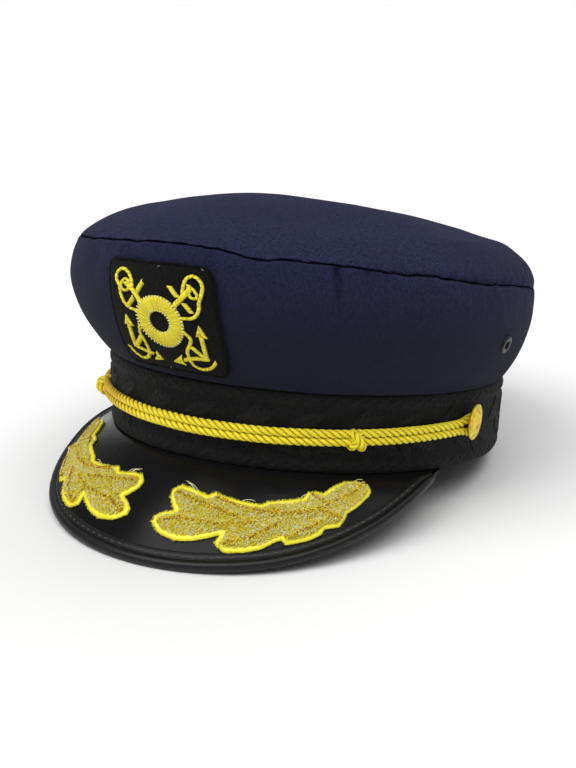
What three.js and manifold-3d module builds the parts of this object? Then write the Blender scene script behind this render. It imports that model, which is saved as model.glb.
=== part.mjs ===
// A captain's cap: a puffed cloth crown on a braid-covered band, with a peak, a chin cord and embroidery.
// Millimetres, +Z up. The cap rests by itself on the plane z = 0: on its peak's rim in front
// and on the rear of its band. The front looks along -Y and the wearer's left is +X.
// The pieces are drawn in the cap's own upright frame, where the band's lower edge is the plane
// z = 0, and the whole cap is then pitched back until rim and band meet the ground.
import * as THREE from "three";
import { mergeVertices } from "three/addons/utils/BufferGeometryUtils.js";
import Module from "manifold-3d";

// Driving sizes of the band
const bandWidth = 176; // outside, ear to ear, at the lower edge
const bandLength = 198.6; // outside, front to back, at the lower edge
const bandHeight = 33.7;
const bandWall = 2.2;
const bandFlare = 1.2; // how far the upper edge stands outside the lower edge
const bandForward = 3.2; // how far the upper edge is shifted to the front
const restFlat = 0.6; // how far the rear of the band is pressed flat by the ground
const gap = 0.3; // between pieces that are sewn or pressed together

// Driving sizes of the crown
const clothWall = 1.9;
const seamWidth = 201; // the seam between side and top panel, ear to ear
const seamLength = 235.6; // the same seam, front to back
const seamForward = 8; // how far the seam's ring is shifted to the front
const seamHeight = 91.5; // of the seam above the band's lower edge, in front
const puffMiddle = 6.3; // outward swell of the side panel at the ears
const puffChange = 5.1; // added to the swell in front, taken away behind
const domeHeight = 28.6; // of the top panel over its seam
const topRoll = 3.7; // how far the top panel swells out over its seam

// Driving sizes of the peak and its rim
const peakReach = 36.4; // of the whole peak beyond the band, in front
const peakDrop = 37.2; // of the peak's edge under the band's lower edge, in front
const peakWall = 2;
const peakHalfAngle = 75;
const rimWidth = 6.4;
const rimLip = 1.3; // thickness of the binding that is folded over the peak's edge

// Driving sizes of the chin cord, its knots and buttons
const cordDiameter = 3.6;
const cordHeight = 18.9; // of the cord's middle above the band's lower edge, at the ears
const cordSag = 4.3; // how much lower the cord lies in front
const knotAngle = 47.5;
const knotLength = 9;
const knotWrap = 1.2; // thickness of the wrap round the two strands
const buttonAngle = 84.5;
const buttonDiameter = 16;
const buttonShank = 5;
const buttonDome = 2.6;

// Driving sizes of the vent eyelets
const eyeletAngle = 88.5;
const eyeletShare = 0.47; // of the way from the band up to the seam
const eyeletDiameter = 8;
const eyeletBarrel = 5;
const eyeletHole = 3.4;
const eyeletFlange = 0.8; // thickness of its flange

// Driving sizes of the badge and of the embroidery
const badgeWidth = 50;
const badgeHeight = 46.5;
const badgeAcross = 1.2; // of the badge's middle beside the middle of the front
const badgeShare = 0.46; // height of the badge's middle on the side panel
const badgeThick = 1.3;
const badgeCorner = 4;
const emblemReach = 22.5; // half the width and height of the whole embroidery
const emblemAcross = 1.8; // of its middle beside the badge's middle
const emblemRise = -0.4;
const emblemThick = 0.9;
const lifeRingDiameter = 23;
const lifeRingHole = 9.4;
const anchorLine = 1.7; // width of an embroidered line of the anchors
const anchorFluke = 4.6; // width of an arrow head at the end of an arm
const sprayStart = 2.2; // angles that the oak spray takes on the peak
const sprayEnd = 53;
const sprayThick = 1.0; // of a leaf at its edge
const leafRise = 0.9; // of a leaf's middle rib over its edge

// Shares and powers that bend the surfaces, without a size of their own
const sideFullness = 0.84; // power of the side panel's swell: 1 is a sine, less is fuller at its edges
const foldHold = 0.1; // share of the side panel under the seam over which a fold dies out
const domeFlat = 2.7; // power that keeps the middle of the top panel flat, at the ears
const domeShoulder = 1.5; // power that rounds its shoulder at the ears
const domeChange = 0.65; // taken off both powers in front and added behind
const rollShare = 0.3; // outer share of the top panel that swells over its seam
const rollChange = 0.6; // how much less it swells in front, and more behind
const seamTurn = 0.06; // outer share of the top panel where its wall turns down into the seam
const peakCurve = 1.18; // power of the peak's drop: 1 is straight, more hangs down at the edge
const rimEnd = 0.93; // share of peakHalfAngle where the binding ends
const rimShare = 0.75; // most of the peak's width that the binding may cover
const cordEye = 0.8; // length of the eye between the strands, as a share of buttonDiameter
const knotTaper = 0.4; // how much thinner the wrap is at its ends
const leafPoint = 0.12; // width of a leaf at its ends, as a share of its width

// How many steps the surfaces are drawn in
const roundSteps = 72;
const sideSteps = 7;
const topSteps = 5;
const peakSteps = 36;
const cordSteps = 28; // along one strand
const cordSides = 8;
const peakRows = 5;

const rad = THREE.MathUtils.degToRad;
const lerp = THREE.MathUtils.lerp;

// Height of the crown seam by angle from the front, as a share of seamHeight.
// The seam hangs a little lower on the wearer's right, where the crown is not pulled up as far.
const seamTable = [
  { angle: -180, height: 0.737 },
  { angle: -150, height: 0.753 },
  { angle: -120, height: 0.8 },
  { angle: -90, height: 0.86 },
  { angle: -60, height: 0.92 },
  { angle: -40, height: 0.948 },
  { angle: -22, height: 0.97 },
  { angle: 0, height: 0.998 },
  { angle: 15, height: 1.004 },
  { angle: 26, height: 0.976 },
  { angle: 40, height: 0.963 },
  { angle: 60, height: 0.938 },
  { angle: 90, height: 0.868 },
  { angle: 120, height: 0.801 },
  { angle: 150, height: 0.753 },
  { angle: 180, height: 0.737 },
];

// Reach and drop of the peak's edge by angle, as shares of peakHalfAngle, peakReach and peakDrop
const peakTable = [
  { angle: 0, reach: 1.0, drop: 1.0 },
  { angle: 0.13, reach: 0.984, drop: 0.985 },
  { angle: 0.26, reach: 0.94, drop: 0.93 },
  { angle: 0.39, reach: 0.858, drop: 0.84 },
  { angle: 0.52, reach: 0.74, drop: 0.69 },
  { angle: 0.66, reach: 0.58, drop: 0.475 },
  { angle: 0.79, reach: 0.4, drop: 0.24 },
  { angle: 0.9, reach: 0.21, drop: 0.08 },
  { angle: 1.0, reach: 0.02, drop: 0.0 },
];

// Folds and gathers that run down from the crown seam, by angle from the front.
// Depth is a share of puffMiddle, run the share of the side panel's height that the fold takes.
const foldTable = [
  { angle: -58, spread: 5.0, depth: 0.12, run: 0.3 },
  { angle: -41, spread: 3.6, depth: 0.2, run: 0.35 },
  { angle: -19, spread: 4.0, depth: 0.16, run: 0.8 },
  { angle: 18.5, spread: 4.0, depth: 0.16, run: 0.8 },
  { angle: 40, spread: 3.6, depth: 0.26, run: 0.35 },
  { angle: 48.5, spread: 3.6, depth: 0.14, run: 0.22 },
  { angle: 118, spread: 5.0, depth: 0.12, run: 0.4 },
  { angle: -130, spread: 5.0, depth: 0.12, run: 0.4 },
];

// One half of the crossed anchors: lines as shares of emblemReach from the emblem's middle.
// A line has the width anchorLine, or it tapers from an arrow head's width to a point.
const anchorTable = [
  { part: "shank", points: [[0.36, 0.34], [0.7, 0.66]] },
  { part: "stock", points: [[0.28, 0.7], [0.76, 0.24]] },
  { part: "rope from the ring", points: [[0.93, 0.66], [0.89, 0.42], [0.72, 0.21], [0.44, 0.12]] },
  { part: "rope to the arms", points: [[0.42, -0.14], [0.56, -0.38], [0.46, -0.64], [0.5, -0.92]] },
  { part: "rope's end", points: [[0.5, -0.92], [0.7, -1.02], [0.97, -0.8]] },
  { part: "lower shank", points: [[0.36, -0.34], [0.78, -0.75]] },
  { part: "arms", points: [[0.81, -0.18], [0.78, -0.75], [0.32, -0.88]] },
  { part: "outer fluke", points: [[0.81, -0.2], [0.81, 0.02]], tapers: true },
  { part: "inner fluke", points: [[0.34, -0.875], [0.1, -0.94]], tapers: true },
];
const shackle = { across: 0.76, up: 0.74, radius: 0.16 };

// Leaves of the oak spray on one half of the peak. Along is a share of the spray's angles,
// out a share of the peak's width at that angle, and width a share of the spray's own breadth.
// The first row is the patch of cloth in the middle, which the leaves are sewn on.
const leafTable = [
  { tipAlong: 0.2, tipOut: 0.52, baseAlong: 0.86, baseOut: 0.46, width: 0.23 },
  { tipAlong: 0.0, tipOut: 0.68, baseAlong: 0.36, baseOut: 0.52, width: 0.17 },
  { tipAlong: 0.04, tipOut: 0.29, baseAlong: 0.36, baseOut: 0.48, width: 0.14 },
  { tipAlong: 0.33, tipOut: 0.79, baseAlong: 0.66, baseOut: 0.48, width: 0.16 },
  { tipAlong: 0.28, tipOut: 0.38, baseAlong: 0.66, baseOut: 0.42, width: 0.14 },
  { tipAlong: 0.57, tipOut: 0.77, baseAlong: 0.84, baseOut: 0.42, width: 0.15 },
  { tipAlong: 0.99, tipOut: 0.26, baseAlong: 0.6, baseOut: 0.5, width: 0.16 },
  { tipAlong: 0.74, tipOut: 0.24, baseAlong: 0.6, baseOut: 0.52, width: 0.12 },
];

// Reads a table at an angle or share: a smooth curve through its rows
function readTable(table, column, at) {
  const place = THREE.MathUtils.clamp(at, table[0].angle, table[table.length - 1].angle);
  let row = 0;
  while (row < table.length - 2 && table[row + 1].angle < place) row += 1;
  const [from, to] = [table[row], table[row + 1]];
  const [before, after] = [table[Math.max(row - 1, 0)], table[Math.min(row + 2, table.length - 1)]];
  const span = to.angle - from.angle;
  const slopeOf = (left, right) => ((right[column] - left[column]) / (right.angle - left.angle)) * span;
  const startSlope = row === 0 ? 0 : slopeOf(before, to);
  const endSlope = slopeOf(from, after);
  const share = (place - from.angle) / span;
  const cube = share ** 3;
  const square = share ** 2;
  return (
    (2 * cube - 3 * square + 1) * from[column] +
    (cube - 2 * square + share) * startSlope +
    (3 * square - 2 * cube) * to[column] +
    (cube - square) * endSlope
  );
}

// Surfaces of the cap. Angles are in degrees from the front, positive to the wearer's left.
function ringPoint(angle, halfWidth, halfLength, forward, height) {
  const turn = rad(angle);
  return new THREE.Vector3(halfWidth * Math.sin(turn), -forward - halfLength * Math.cos(turn), height);
}

function outwardOf(angle, halfWidth, halfLength) {
  const turn = rad(angle);
  return new THREE.Vector3(Math.sin(turn) / halfWidth, -Math.cos(turn) / halfLength, 0).normalize();
}

function bandPoint(angle, height, outset = 0) {
  const share = height / bandHeight;
  const grow = bandFlare * share;
  const [halfWidth, halfLength] = [bandWidth / 2 + grow, bandLength / 2 + grow];
  const point = ringPoint(angle, halfWidth, halfLength, bandForward * share, height);
  return point.addScaledVector(outwardOf(angle, halfWidth, halfLength), outset);
}

function seamPoint(angle) {
  const height = seamHeight * readTable(seamTable, "height", angle);
  return ringPoint(angle, seamWidth / 2, seamLength / 2, seamForward, height);
}

// The even slope that the top panel follows; only the seam itself waves above and below it
function evenSeamHeight(angle) {
  const [back, front] = [180, 0].map((end) => readTable(seamTable, "height", end));
  return seamHeight * lerp(back, front, (1 + Math.cos(rad(angle))) / 2);
}

// The fold table's dent at an angle and a share of the side panel's height; the seam itself is held
function foldDepth(angle, share) {
  const held = Math.min((1 - share) / foldHold, 1);
  return foldTable.reduce((sum, fold) => {
    const across = Math.exp(-(((angle - fold.angle) / fold.spread) ** 2));
    const down = Math.max(0, 1 - (1 - share) / fold.run);
    return sum + fold.depth * puffMiddle * across * held * down ** 1.5;
  }, 0);
}

// The side panel's outer face: share 0 at the band, 1 at the seam
function sidePoint(angle, share, outset = 0) {
  const low = bandPoint(angle, bandHeight);
  const point = low.lerp(seamPoint(angle), share);
  const puff = puffMiddle + puffChange * Math.cos(rad(angle));
  const swell = puff * Math.sin(Math.PI * share) ** sideFullness;
  const outward = outwardOf(angle, seamWidth / 2, seamLength / 2);
  return point.addScaledVector(outward, swell - foldDepth(angle, share) + outset);
}

// The top panel's outer face: share 1 at the seam, 0 at the middle of the top
function topPoint(angle, share, wall = 0) {
  const front = Math.cos(rad(angle));
  const seam = seamPoint(angle);
  const wave = (seam.z - evenSeamHeight(angle)) * (1 - share ** 4);
  const middle = new THREE.Vector3(0, -seamForward, evenSeamHeight(90));
  const [flat, shoulder] = [domeFlat - domeChange * front, domeShoulder - domeChange * front];
  const rise = (1 - share ** flat) ** (1 / shoulder);
  const rolled = Math.sin(Math.PI * Math.min((1 - share) / rollShare, 1));
  const roll = topRoll * (1 - rollChange * front) * rolled;
  const outward = outwardOf(angle, seamWidth / 2, seamLength / 2);
  const turned = Math.min((1 - share) / seamTurn, 1); // the wall is laid inward at the seam, down elsewhere
  const point = middle.lerp(seam, share);
  point.z += domeHeight * rise - wave * share + gap / 2 - wall * turned;
  return point.addScaledVector(outward, roll - wall * (1 - turned));
}

// The peak's upper face: share 0 at the band's outer face, 1 at the edge, and less than 0 under the band
function peakSize(angle) {
  const place = Math.abs(angle) / peakHalfAngle;
  return {
    reach: peakReach * readTable(peakTable, "reach", place),
    drop: peakDrop * readTable(peakTable, "drop", place),
  };
}

function peakPoint(angle, share) {
  const { reach, drop } = peakSize(angle);
  const point = bandPoint(angle, 0, reach * share);
  point.z -= gap + drop * Math.max(share, 0) ** peakCurve;
  return point;
}

// Outward slope and upward normal of the peak at an angle and a share
function peakFrame(angle, share) {
  const step = 0.01;
  const along = peakPoint(angle + step, share).sub(peakPoint(angle - step, share));
  const outward = peakPoint(angle, share + step).sub(peakPoint(angle, Math.max(share - step, 0)));
  const up = new THREE.Vector3().crossVectors(outward, along).normalize();
  if (up.z < 0) up.negate();
  return { outward: outward.normalize(), up };
}

function peakLower(angle, share) {
  return peakPoint(angle, share).addScaledVector(peakFrame(angle, share).up, -peakWall);
}

// Solids are lofted through closed rings of points that all have as many points
// An open loft is closed at its two ends: over an outline, or between the two faces of a ribbon
function loft(sections, { endless = false, capOutline = null } = {}) {
  const size = sections[0].length;
  const points = sections.flat();
  const faces = [];
  const spans = endless ? sections.length : sections.length - 1;
  for (let span = 0; span < spans; span += 1) {
    const next = (span + 1) % sections.length;
    for (let at = 0; at < size; at += 1) {
      const on = (at + 1) % size;
      faces.push([span * size + at, next * size + at, next * size + on]);
      faces.push([span * size + at, next * size + on, span * size + on]);
    }
  }
  const last = (sections.length - 1) * size;
  for (const [a, b, c] of endless ? [] : capFaces(size, capOutline)) {
    faces.push([a, b, c]);
    faces.push([last + c, last + b, last + a]);
  }
  return closedGeometry(points, faces);
}

function capFaces(size, capOutline) {
  if (capOutline) {
    const turned = THREE.ShapeUtils.isClockWise(capOutline);
    const faces = THREE.ShapeUtils.triangulateShape(capOutline, []);
    return faces.map(([a, b, c]) => (turned ? [c, b, a] : [a, b, c]));
  }
  return Array.from({ length: size / 2 - 1 }, (_, at) => [
    [at, at + 1, size - 2 - at],
    [at, size - 2 - at, size - 1 - at],
  ]).flat();
}

// A loft leaves faces without area at its poles; they are dropped and the rest is turned outward
function closedGeometry(points, faces) {
  const geometry = new THREE.BufferGeometry().setFromPoints(points);
  geometry.setIndex(faces.flat());
  const merged = mergeVertices(geometry, 1e-3);
  const index = merged.getIndex().array;
  const kept = [];
  for (let at = 0; at < index.length; at += 3) {
    const [a, b, c] = index.slice(at, at + 3);
    if (a !== b && b !== c && c !== a) kept.push([a, b, c]);
  }
  const corner = (number) => new THREE.Vector3().fromBufferAttribute(merged.attributes.position, number);
  const volume = kept.reduce((sum, [a, b, c]) => sum + corner(a).dot(corner(b).cross(corner(c))), 0);
  merged.setIndex(kept.flatMap(([a, b, c]) => (volume < 0 ? [c, b, a] : [a, b, c])));
  return merged;
}

const wasm = await Module();
wasm.setup();

function solidOf(geometry) {
  const bare = geometry.clone();
  bare.deleteAttribute("normal");
  bare.deleteAttribute("uv");
  const merged = mergeVertices(bare, 1e-4);
  return new wasm.Manifold(
    new wasm.Mesh({
      numProp: 3,
      vertProperties: new Float32Array(merged.attributes.position.array),
      triVerts: new Uint32Array(merged.getIndex().array),
    }),
  );
}

function geometryOf(solid) {
  const mesh = solid.getMesh();
  const geometry = new THREE.BufferGeometry();
  geometry.setAttribute("position", new THREE.BufferAttribute(mesh.vertProperties, 3));
  geometry.setIndex(new THREE.BufferAttribute(mesh.triVerts, 1));
  return geometry;
}

function joined(geometries) {
  return geometryOf(geometries.map(solidOf).reduce((sum, solid) => sum.add(solid)));
}

const cap = new THREE.Group();

function addPiece(name, geometry, colour, roughness, metalness = 0) {
  const material = new THREE.MeshStandardMaterial({ color: colour, roughness, metalness });
  const mesh = new THREE.Mesh(geometry, material);
  mesh.name = name;
  cap.add(mesh);
  return mesh;
}

const angles = Array.from({ length: roundSteps }, (_, step) => (step / roundSteps) * 360 - 180);
const shares = (count) => Array.from({ length: count + 1 }, (_, step) => step / count);

// Where a round piece stands out of a surface: its foot and its outward direction
function footing(surface, angle, at) {
  const step = 0.01;
  const along = surface(angle + step, at).sub(surface(angle - step, at));
  const up = surface(angle, at + step).sub(surface(angle, at - step));
  return { foot: surface(angle, at), outward: up.clone().cross(along).negate().normalize() };
}

function standOn({ foot, outward }, mesh) {
  mesh.position.copy(foot);
  mesh.quaternion.setFromUnitVectors(new THREE.Vector3(0, 1, 0), outward);
  return mesh;
}

// Crown: side panel, with a hole at each vent eyelet, and top panel
function sidePanel() {
  const rows = shares(sideSteps).map((share) => share ** 0.9);
  const top = (point) => point.sub(new THREE.Vector3(0, 0, gap / 2));
  const lift = (point, share) => (share === 1 ? top(point) : point);
  const wall = loft(
    angles.map((angle) => [
      ...rows.map((share) => lift(sidePoint(angle, share), share)),
      ...rows.map((share) => lift(sidePoint(angle, share, -clothWall), share)).reverse(),
    ]),
    { endless: true },
  );
  return geometryOf(
    [-eyeletAngle, eyeletAngle].reduce((solid, angle) => {
      const radius = eyeletBarrel / 2 + gap;
      const length = 2 * (clothWall + puffMiddle + puffChange); // past both faces of the swollen cloth
      const drill = new THREE.Mesh(new THREE.CylinderGeometry(radius, radius, length, 12));
      standOn(footing(sidePoint, angle, eyeletShare), drill).updateMatrix();
      return solid.subtract(solidOf(drill.geometry.applyMatrix4(drill.matrix)));
    }, solidOf(wall)),
  );
}

function topPanel() {
  const rows = shares(topSteps).map((share) => Math.sin((share * Math.PI) / 2) ** 0.8);
  return loft(
    angles.map((angle) => [
      ...rows.map((share) => topPoint(angle, share)),
      ...rows.map((share) => topPoint(angle, share, clothWall)).reverse(),
    ]),
    { endless: true },
  );
}

// Band: a plain wall, a little wider and further forward at its upper edge
function bandRing() {
  const rows = [0, bandHeight - gap];
  return loft(
    angles.map((angle) => [
      ...rows.map((height) => bandPoint(angle, height)),
      ...rows.map((height) => bandPoint(angle, height, -bandWall)).reverse(),
    ]),
    { endless: true },
  );
}

// Peak: its inner strip lies under the band, its edge stays inside the rim's fold
const leastEdge = 0.3; // share of its reach that the peak keeps where it runs out
const peakEdge = (angle) => Math.max(1 - (rimLip + gap) / peakSize(angle).reach, leastEdge);
const peakAngles = (limit, steps) => shares(steps).map((share) => lerp(-limit, limit, share));

function peakShell() {
  const rows = shares(peakRows);
  const sections = peakAngles(peakHalfAngle, peakSteps).map((angle) => {
    const under = bandPoint(angle, 0, -bandWall).setZ(-gap);
    const down = new THREE.Vector3(0, 0, -peakWall);
    const upper = rows.map((share) => peakPoint(angle, share * peakEdge(angle)));
    const lower = rows.map((share) => peakLower(angle, share * peakEdge(angle)));
    return [under, ...upper, ...lower.reverse(), under.clone().add(down)];
  });
  return loft(sections);
}

// Rim: a binding folded over the peak's edge, narrower where the peak runs out
function rimBinding() {
  const lastAngle = peakHalfAngle * rimEnd;
  const noseInset = 1; // how far inside the edge the binding's round nose starts
  const profileAt = (angle) => {
    const room = peakSize(angle).reach - rimLip - gap;
    const width = Math.min(rimWidth, room * rimShare);
    const [above, below] = [gap, -peakWall - gap];
    const nose = [70, 35, 0, -35, -70].map((turn) => {
      const depth = (above - below) / 2 + rimLip;
      return new THREE.Vector2(
        gap - noseInset + (rimLip + noseInset) * Math.cos(rad(turn)),
        (above + below) / 2 + depth * Math.sin(rad(turn)),
      );
    });
    return [
      new THREE.Vector2(-width, above + rimLip * 0.6),
      new THREE.Vector2(-width * 0.55, above + rimLip),
      ...nose,
      new THREE.Vector2(-width * 0.55, below - rimLip),
      new THREE.Vector2(-width, below - rimLip * 0.6),
      new THREE.Vector2(-width, below),
      new THREE.Vector2(gap, below),
      new THREE.Vector2(gap, above),
      new THREE.Vector2(-width, above),
    ];
  };
  const sections = peakAngles(lastAngle, peakSteps).map((angle) => {
    const edge = peakPoint(angle, peakEdge(angle));
    const { outward, up } = peakFrame(angle, peakEdge(angle));
    const place = ({ x, y }) => edge.clone().addScaledVector(outward, x).addScaledVector(up, y);
    return profileAt(angle).map(place);
  });
  return loft(sections, { capOutline: profileAt(lastAngle) });
}

// Chin cord: one endless strand, laid double along the band and round the shanks of the buttons
const strandHalfSpace = (cordDiameter + gap) / 2;
const cordOutset = gap + cordDiameter / 2;
const cordZ = (angle) => cordHeight - cordSag * Math.cos(rad(angle));

function degreesFor(length, angle) {
  const turn = rad(angle);
  return length / (rad(1) * Math.hypot((bandWidth / 2) * Math.cos(turn), (bandLength / 2) * Math.sin(turn)));
}

function cordRoute() {
  const turnRadius = buttonShank / 2 + gap + cordDiameter / 2;
  const opening = degreesFor(buttonDiameter * cordEye, buttonAngle);
  const halfSpace = (angle) => {
    const share = THREE.MathUtils.smoothstep(Math.abs(angle), buttonAngle - opening, buttonAngle);
    return lerp(strandHalfSpace, turnRadius, share);
  };
  const strand = (side) =>
    shares(cordSteps).map((share) => {
      const angle = lerp(-buttonAngle, buttonAngle, share);
      return { angle, height: cordZ(angle) + side * halfSpace(angle) };
    });
  const turn = (side) =>
    [60, 30, 0, -30, -60].map((bend) => ({
      angle: side * (buttonAngle + degreesFor(turnRadius * Math.cos(rad(bend)), buttonAngle)),
      height: cordZ(buttonAngle) + turnRadius * Math.sin(rad(bend)),
    }));
  return [...strand(1), ...turn(1), ...strand(-1).reverse(), ...turn(-1).reverse()];
}

function chinCord() {
  const route = cordRoute().map(({ angle, height }) => bandPoint(angle, height, cordOutset));
  const sides = Array.from({ length: cordSides }, (_, side) => rad(((side + 0.5) * 360) / cordSides));
  return loft(
    route.map((point, at) => {
      const before = route[(at + route.length - 1) % route.length];
      const after = route[(at + 1) % route.length];
      const along = after.clone().sub(before).normalize();
      const outward = new THREE.Vector3(point.x, point.y, 0).normalize();
      const across = new THREE.Vector3().crossVectors(along, outward).normalize();
      const out = new THREE.Vector3().crossVectors(across, along);
      return sides.map((turn) =>
        point
          .clone()
          .addScaledVector(across, (cordDiameter / 2) * Math.cos(turn))
          .addScaledVector(out, (cordDiameter / 2) * Math.sin(turn)),
      );
    }),
    { endless: true },
  );
}

// Knot: a wrap over both strands, open towards the band
function cordKnot(side) {
  const slack = gap * 1.5; // between the wrap's flats and the round strands
  const innerHalf = strandHalfSpace + cordDiameter / 2 + slack;
  const innerTop = cordOutset + cordDiameter / 2 + slack;
  const [outerSquare, innerSquare] = [2.6, 4]; // powers of the rounded squares: 2 is round
  const bends = shares(8).map((share) => share * 180);
  const arc = (half, top, square) =>
    bends.map((bend) => {
      const [across, out] = [Math.cos(rad(bend)), Math.sin(rad(bend))];
      const size = (Math.abs(across) ** square + out ** square) ** (-1 / square);
      return new THREE.Vector2(half * across * size, gap + (top - gap) * out * size);
    });
  const profileAt = (wrap) => [
    ...arc(innerHalf + wrap, innerTop + wrap, outerSquare),
    ...arc(innerHalf, innerTop, innerSquare).reverse(),
  ];
  const stations = [-0.5, -0.3, 0, 0.3, 0.5];
  const sections = stations.map((station) => {
    const wrap = knotWrap * (1 - knotTaper * (2 * station) ** 2);
    const angle = side * knotAngle + degreesFor(knotLength * station, knotAngle);
    return profileAt(wrap).map(({ x, y }) => bandPoint(angle, cordZ(angle) + x, y));
  });
  return loft(sections, { capOutline: profileAt(knotWrap * (1 - knotTaper)) });
}

// Button: a shank through the cord's eye under a domed head with a raised rim.
// Its profile runs from the back to the front of the head, in shares of its radius and its dome.
function buttonShape() {
  const [radius, back] = [buttonDiameter / 2, cordDiameter + gap * 2];
  const head = [
    { out: 0.9, up: 0.08 },
    { out: 1, up: 0.31 },
    { out: 0.93, up: 0.58 },
    { out: 0.8, up: 0.46 },
    { out: 0.45, up: 0.85 },
    { out: 0, up: 1 },
  ];
  const profile = [
    [0, gap],
    [buttonShank / 2, gap],
    [buttonShank / 2, back],
    ...head.map(({ out, up }) => [radius * out, back + buttonDome * up]),
  ];
  return new THREE.LatheGeometry(profile.map(([x, y]) => new THREE.Vector2(x, y)), 18);
}

// Vent eyelet: a flange outside the cloth on a barrel through it. The flange's profile runs
// from its outer edge to the hole, in shares of its own width and thickness.
function eyeletShape() {
  const flangeFoot = gap * 1.5; // clear of the cloth, which curves away under the flange
  const flange = [
    { out: 1, up: 0 },
    { out: 0.87, up: 0.75 },
    { out: 0.26, up: 1 },
    { out: 0, up: 0.38 },
  ];
  const flangeWidth = (eyeletDiameter - eyeletHole) / 2;
  const profile = [
    [eyeletHole / 2, -clothWall],
    [eyeletBarrel / 2, -clothWall],
    [eyeletBarrel / 2, flangeFoot],
    ...flange.map(({ out, up }) => [eyeletHole / 2 + flangeWidth * out, flangeFoot + eyeletFlange * up]),
    [eyeletHole / 2, -clothWall],
  ];
  return new THREE.LatheGeometry(profile.map(([x, y]) => new THREE.Vector2(x, y)), 14);
}

// Badge: a square of felt on the front, and its embroidery
const frontPath = shares(40).map((share) => sidePoint(0, share));
const frontLength = frontPath.slice(1).reduce((sum, point, at) => sum + point.distanceTo(frontPath[at]), 0);
const frontRadius = (bandWidth + seamWidth) / 4 + puffMiddle + (puffChange * 3) / 4;

function badgePoint(across, up, outset) {
  const angle = THREE.MathUtils.radToDeg((badgeAcross + across) / frontRadius);
  return sidePoint(angle, badgeShare + up / frontLength, gap + outset);
}

function badgePatch() {
  const columns = shares(8).map((share) => share * 2 - 1);
  const rows = [-1, -0.93, -0.6, -0.2, 0.2, 0.6, 0.93, 1];
  const sections = rows.map((row) => {
    const up = (row * badgeHeight) / 2;
    const fromEdge = badgeHeight / 2 - Math.abs(up);
    const cut = Math.max(0, badgeCorner - fromEdge);
    const half = badgeWidth / 2 - badgeCorner + Math.sqrt(badgeCorner ** 2 - cut ** 2);
    return [
      ...columns.map((column) => badgePoint(column * half, up, badgeThick)),
      ...columns.map((column) => badgePoint(column * half, up, 0)).reverse(),
    ];
  });
  return loft(sections);
}

function emblemPoint(across, up, height) {
  return badgePoint(emblemAcross + across, emblemRise + up, badgeThick + gap + height);
}

// An embroidered line: a low bar with a rounded back along a path on the badge
const strokeBack = 0.6; // share of a line's width that its back takes
const pointHeight = 0.4; // share of emblemThick that is left at a line's point
function stroke(path, halfWidths, endless = false) {
  const sections = path.map((point, at) => {
    const before = endless ? path[(at + path.length - 1) % path.length] : path[Math.max(at - 1, 0)];
    const after = endless ? path[(at + 1) % path.length] : path[Math.min(at + 1, path.length - 1)];
    const side = new THREE.Vector2(before.y - after.y, after.x - before.x).normalize();
    const half = halfWidths[at];
    const place = (share, height) =>
      emblemPoint(point.x + side.x * half * share, point.y + side.y * half * share, height);
    const height = emblemThick * Math.min(1, pointHeight + half / anchorLine);
    return [place(-1, 0), place(-strokeBack, height), place(strokeBack, height), place(1, 0)];
  });
  return loft(sections, { endless });
}

function circlePath(across, up, radius, steps) {
  return Array.from({ length: steps }, (_, step) => {
    const turn = (step / steps) * 2 * Math.PI;
    return new THREE.Vector2(across + radius * Math.cos(turn), up + radius * Math.sin(turn));
  });
}

function emblem() {
  const line = anchorLine / 2;
  const ringMiddle = (lifeRingDiameter + lifeRingHole) / 4;
  const ringHalf = (lifeRingDiameter - lifeRingHole) / 4;
  const pieces = [stroke(circlePath(0, 0, ringMiddle, 16), Array(16).fill(ringHalf), true)];
  for (const side of [-1, 1]) {
    for (const { points, tapers } of anchorTable) {
      const path = points.map(([x, y]) => new THREE.Vector2(side * x * emblemReach, y * emblemReach));
      const widths = tapers ? [anchorFluke / 2, line / 4] : Array(path.length).fill(line);
      pieces.push(stroke(path, widths));
    }
    const [across, up, radius] = [shackle.across, shackle.up, shackle.radius].map((n) => n * emblemReach);
    pieces.push(stroke(circlePath(side * across, up, radius, 8), Array(8).fill(line * 0.8), true));
  }
  return joined(pieces);
}

// Oak spray: ribbed leaves that are joined where they cross, laid on one half of the peak
const sprayGap = gap * 1.3; // the peak curves a little under a leaf's straight faces
function sprayPoint(side, along, out, height) {
  const angle = side * lerp(sprayStart, sprayEnd, along);
  const share = out * peakEdge(angle);
  return peakPoint(angle, share).addScaledVector(peakFrame(angle, share).up, sprayGap + height);
}

const leafCorners = [[-1, 0], [-0.9, 0.8], [0, 1], [0.9, 0.8], [1, 0]];
const leafOutline = leafCorners.map(([x, y]) => new THREE.Vector2(x, y));

function oakLeaf(side, { tipAlong, tipOut, baseAlong, baseOut, width }) {
  const length = rad(sprayEnd - sprayStart) * (bandLength / 2 + peakReach / 2);
  const breadth = Math.hypot(peakReach, peakDrop);
  const tip = new THREE.Vector2(tipAlong * length, tipOut * breadth);
  const base = new THREE.Vector2(baseAlong * length, baseOut * breadth);
  const direction = tip.clone().sub(base).normalize();
  const across = new THREE.Vector2(-direction.y, direction.x);
  const sections = shares(6).map((share) => {
    const belly = Math.sin(Math.PI * lerp(0.1, 0.94, share)) ** 0.7; // widest just before the middle
    const half = width * breadth * lerp(leafPoint, 1, belly);
    const middle = base.clone().lerp(tip, share);
    const place = (offset, height) => {
      const spot = middle.clone().addScaledVector(across, offset * half);
      return sprayPoint(side, spot.x / length, spot.y / breadth, height);
    };
    return [
      place(-1, 0),
      place(-0.9, sprayThick),
      place(0, sprayThick + leafRise),
      place(0.9, sprayThick),
      place(1, 0),
    ];
  });
  return loft(sections, { capOutline: leafOutline });
}

const gold = 0xd9b422;

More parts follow.
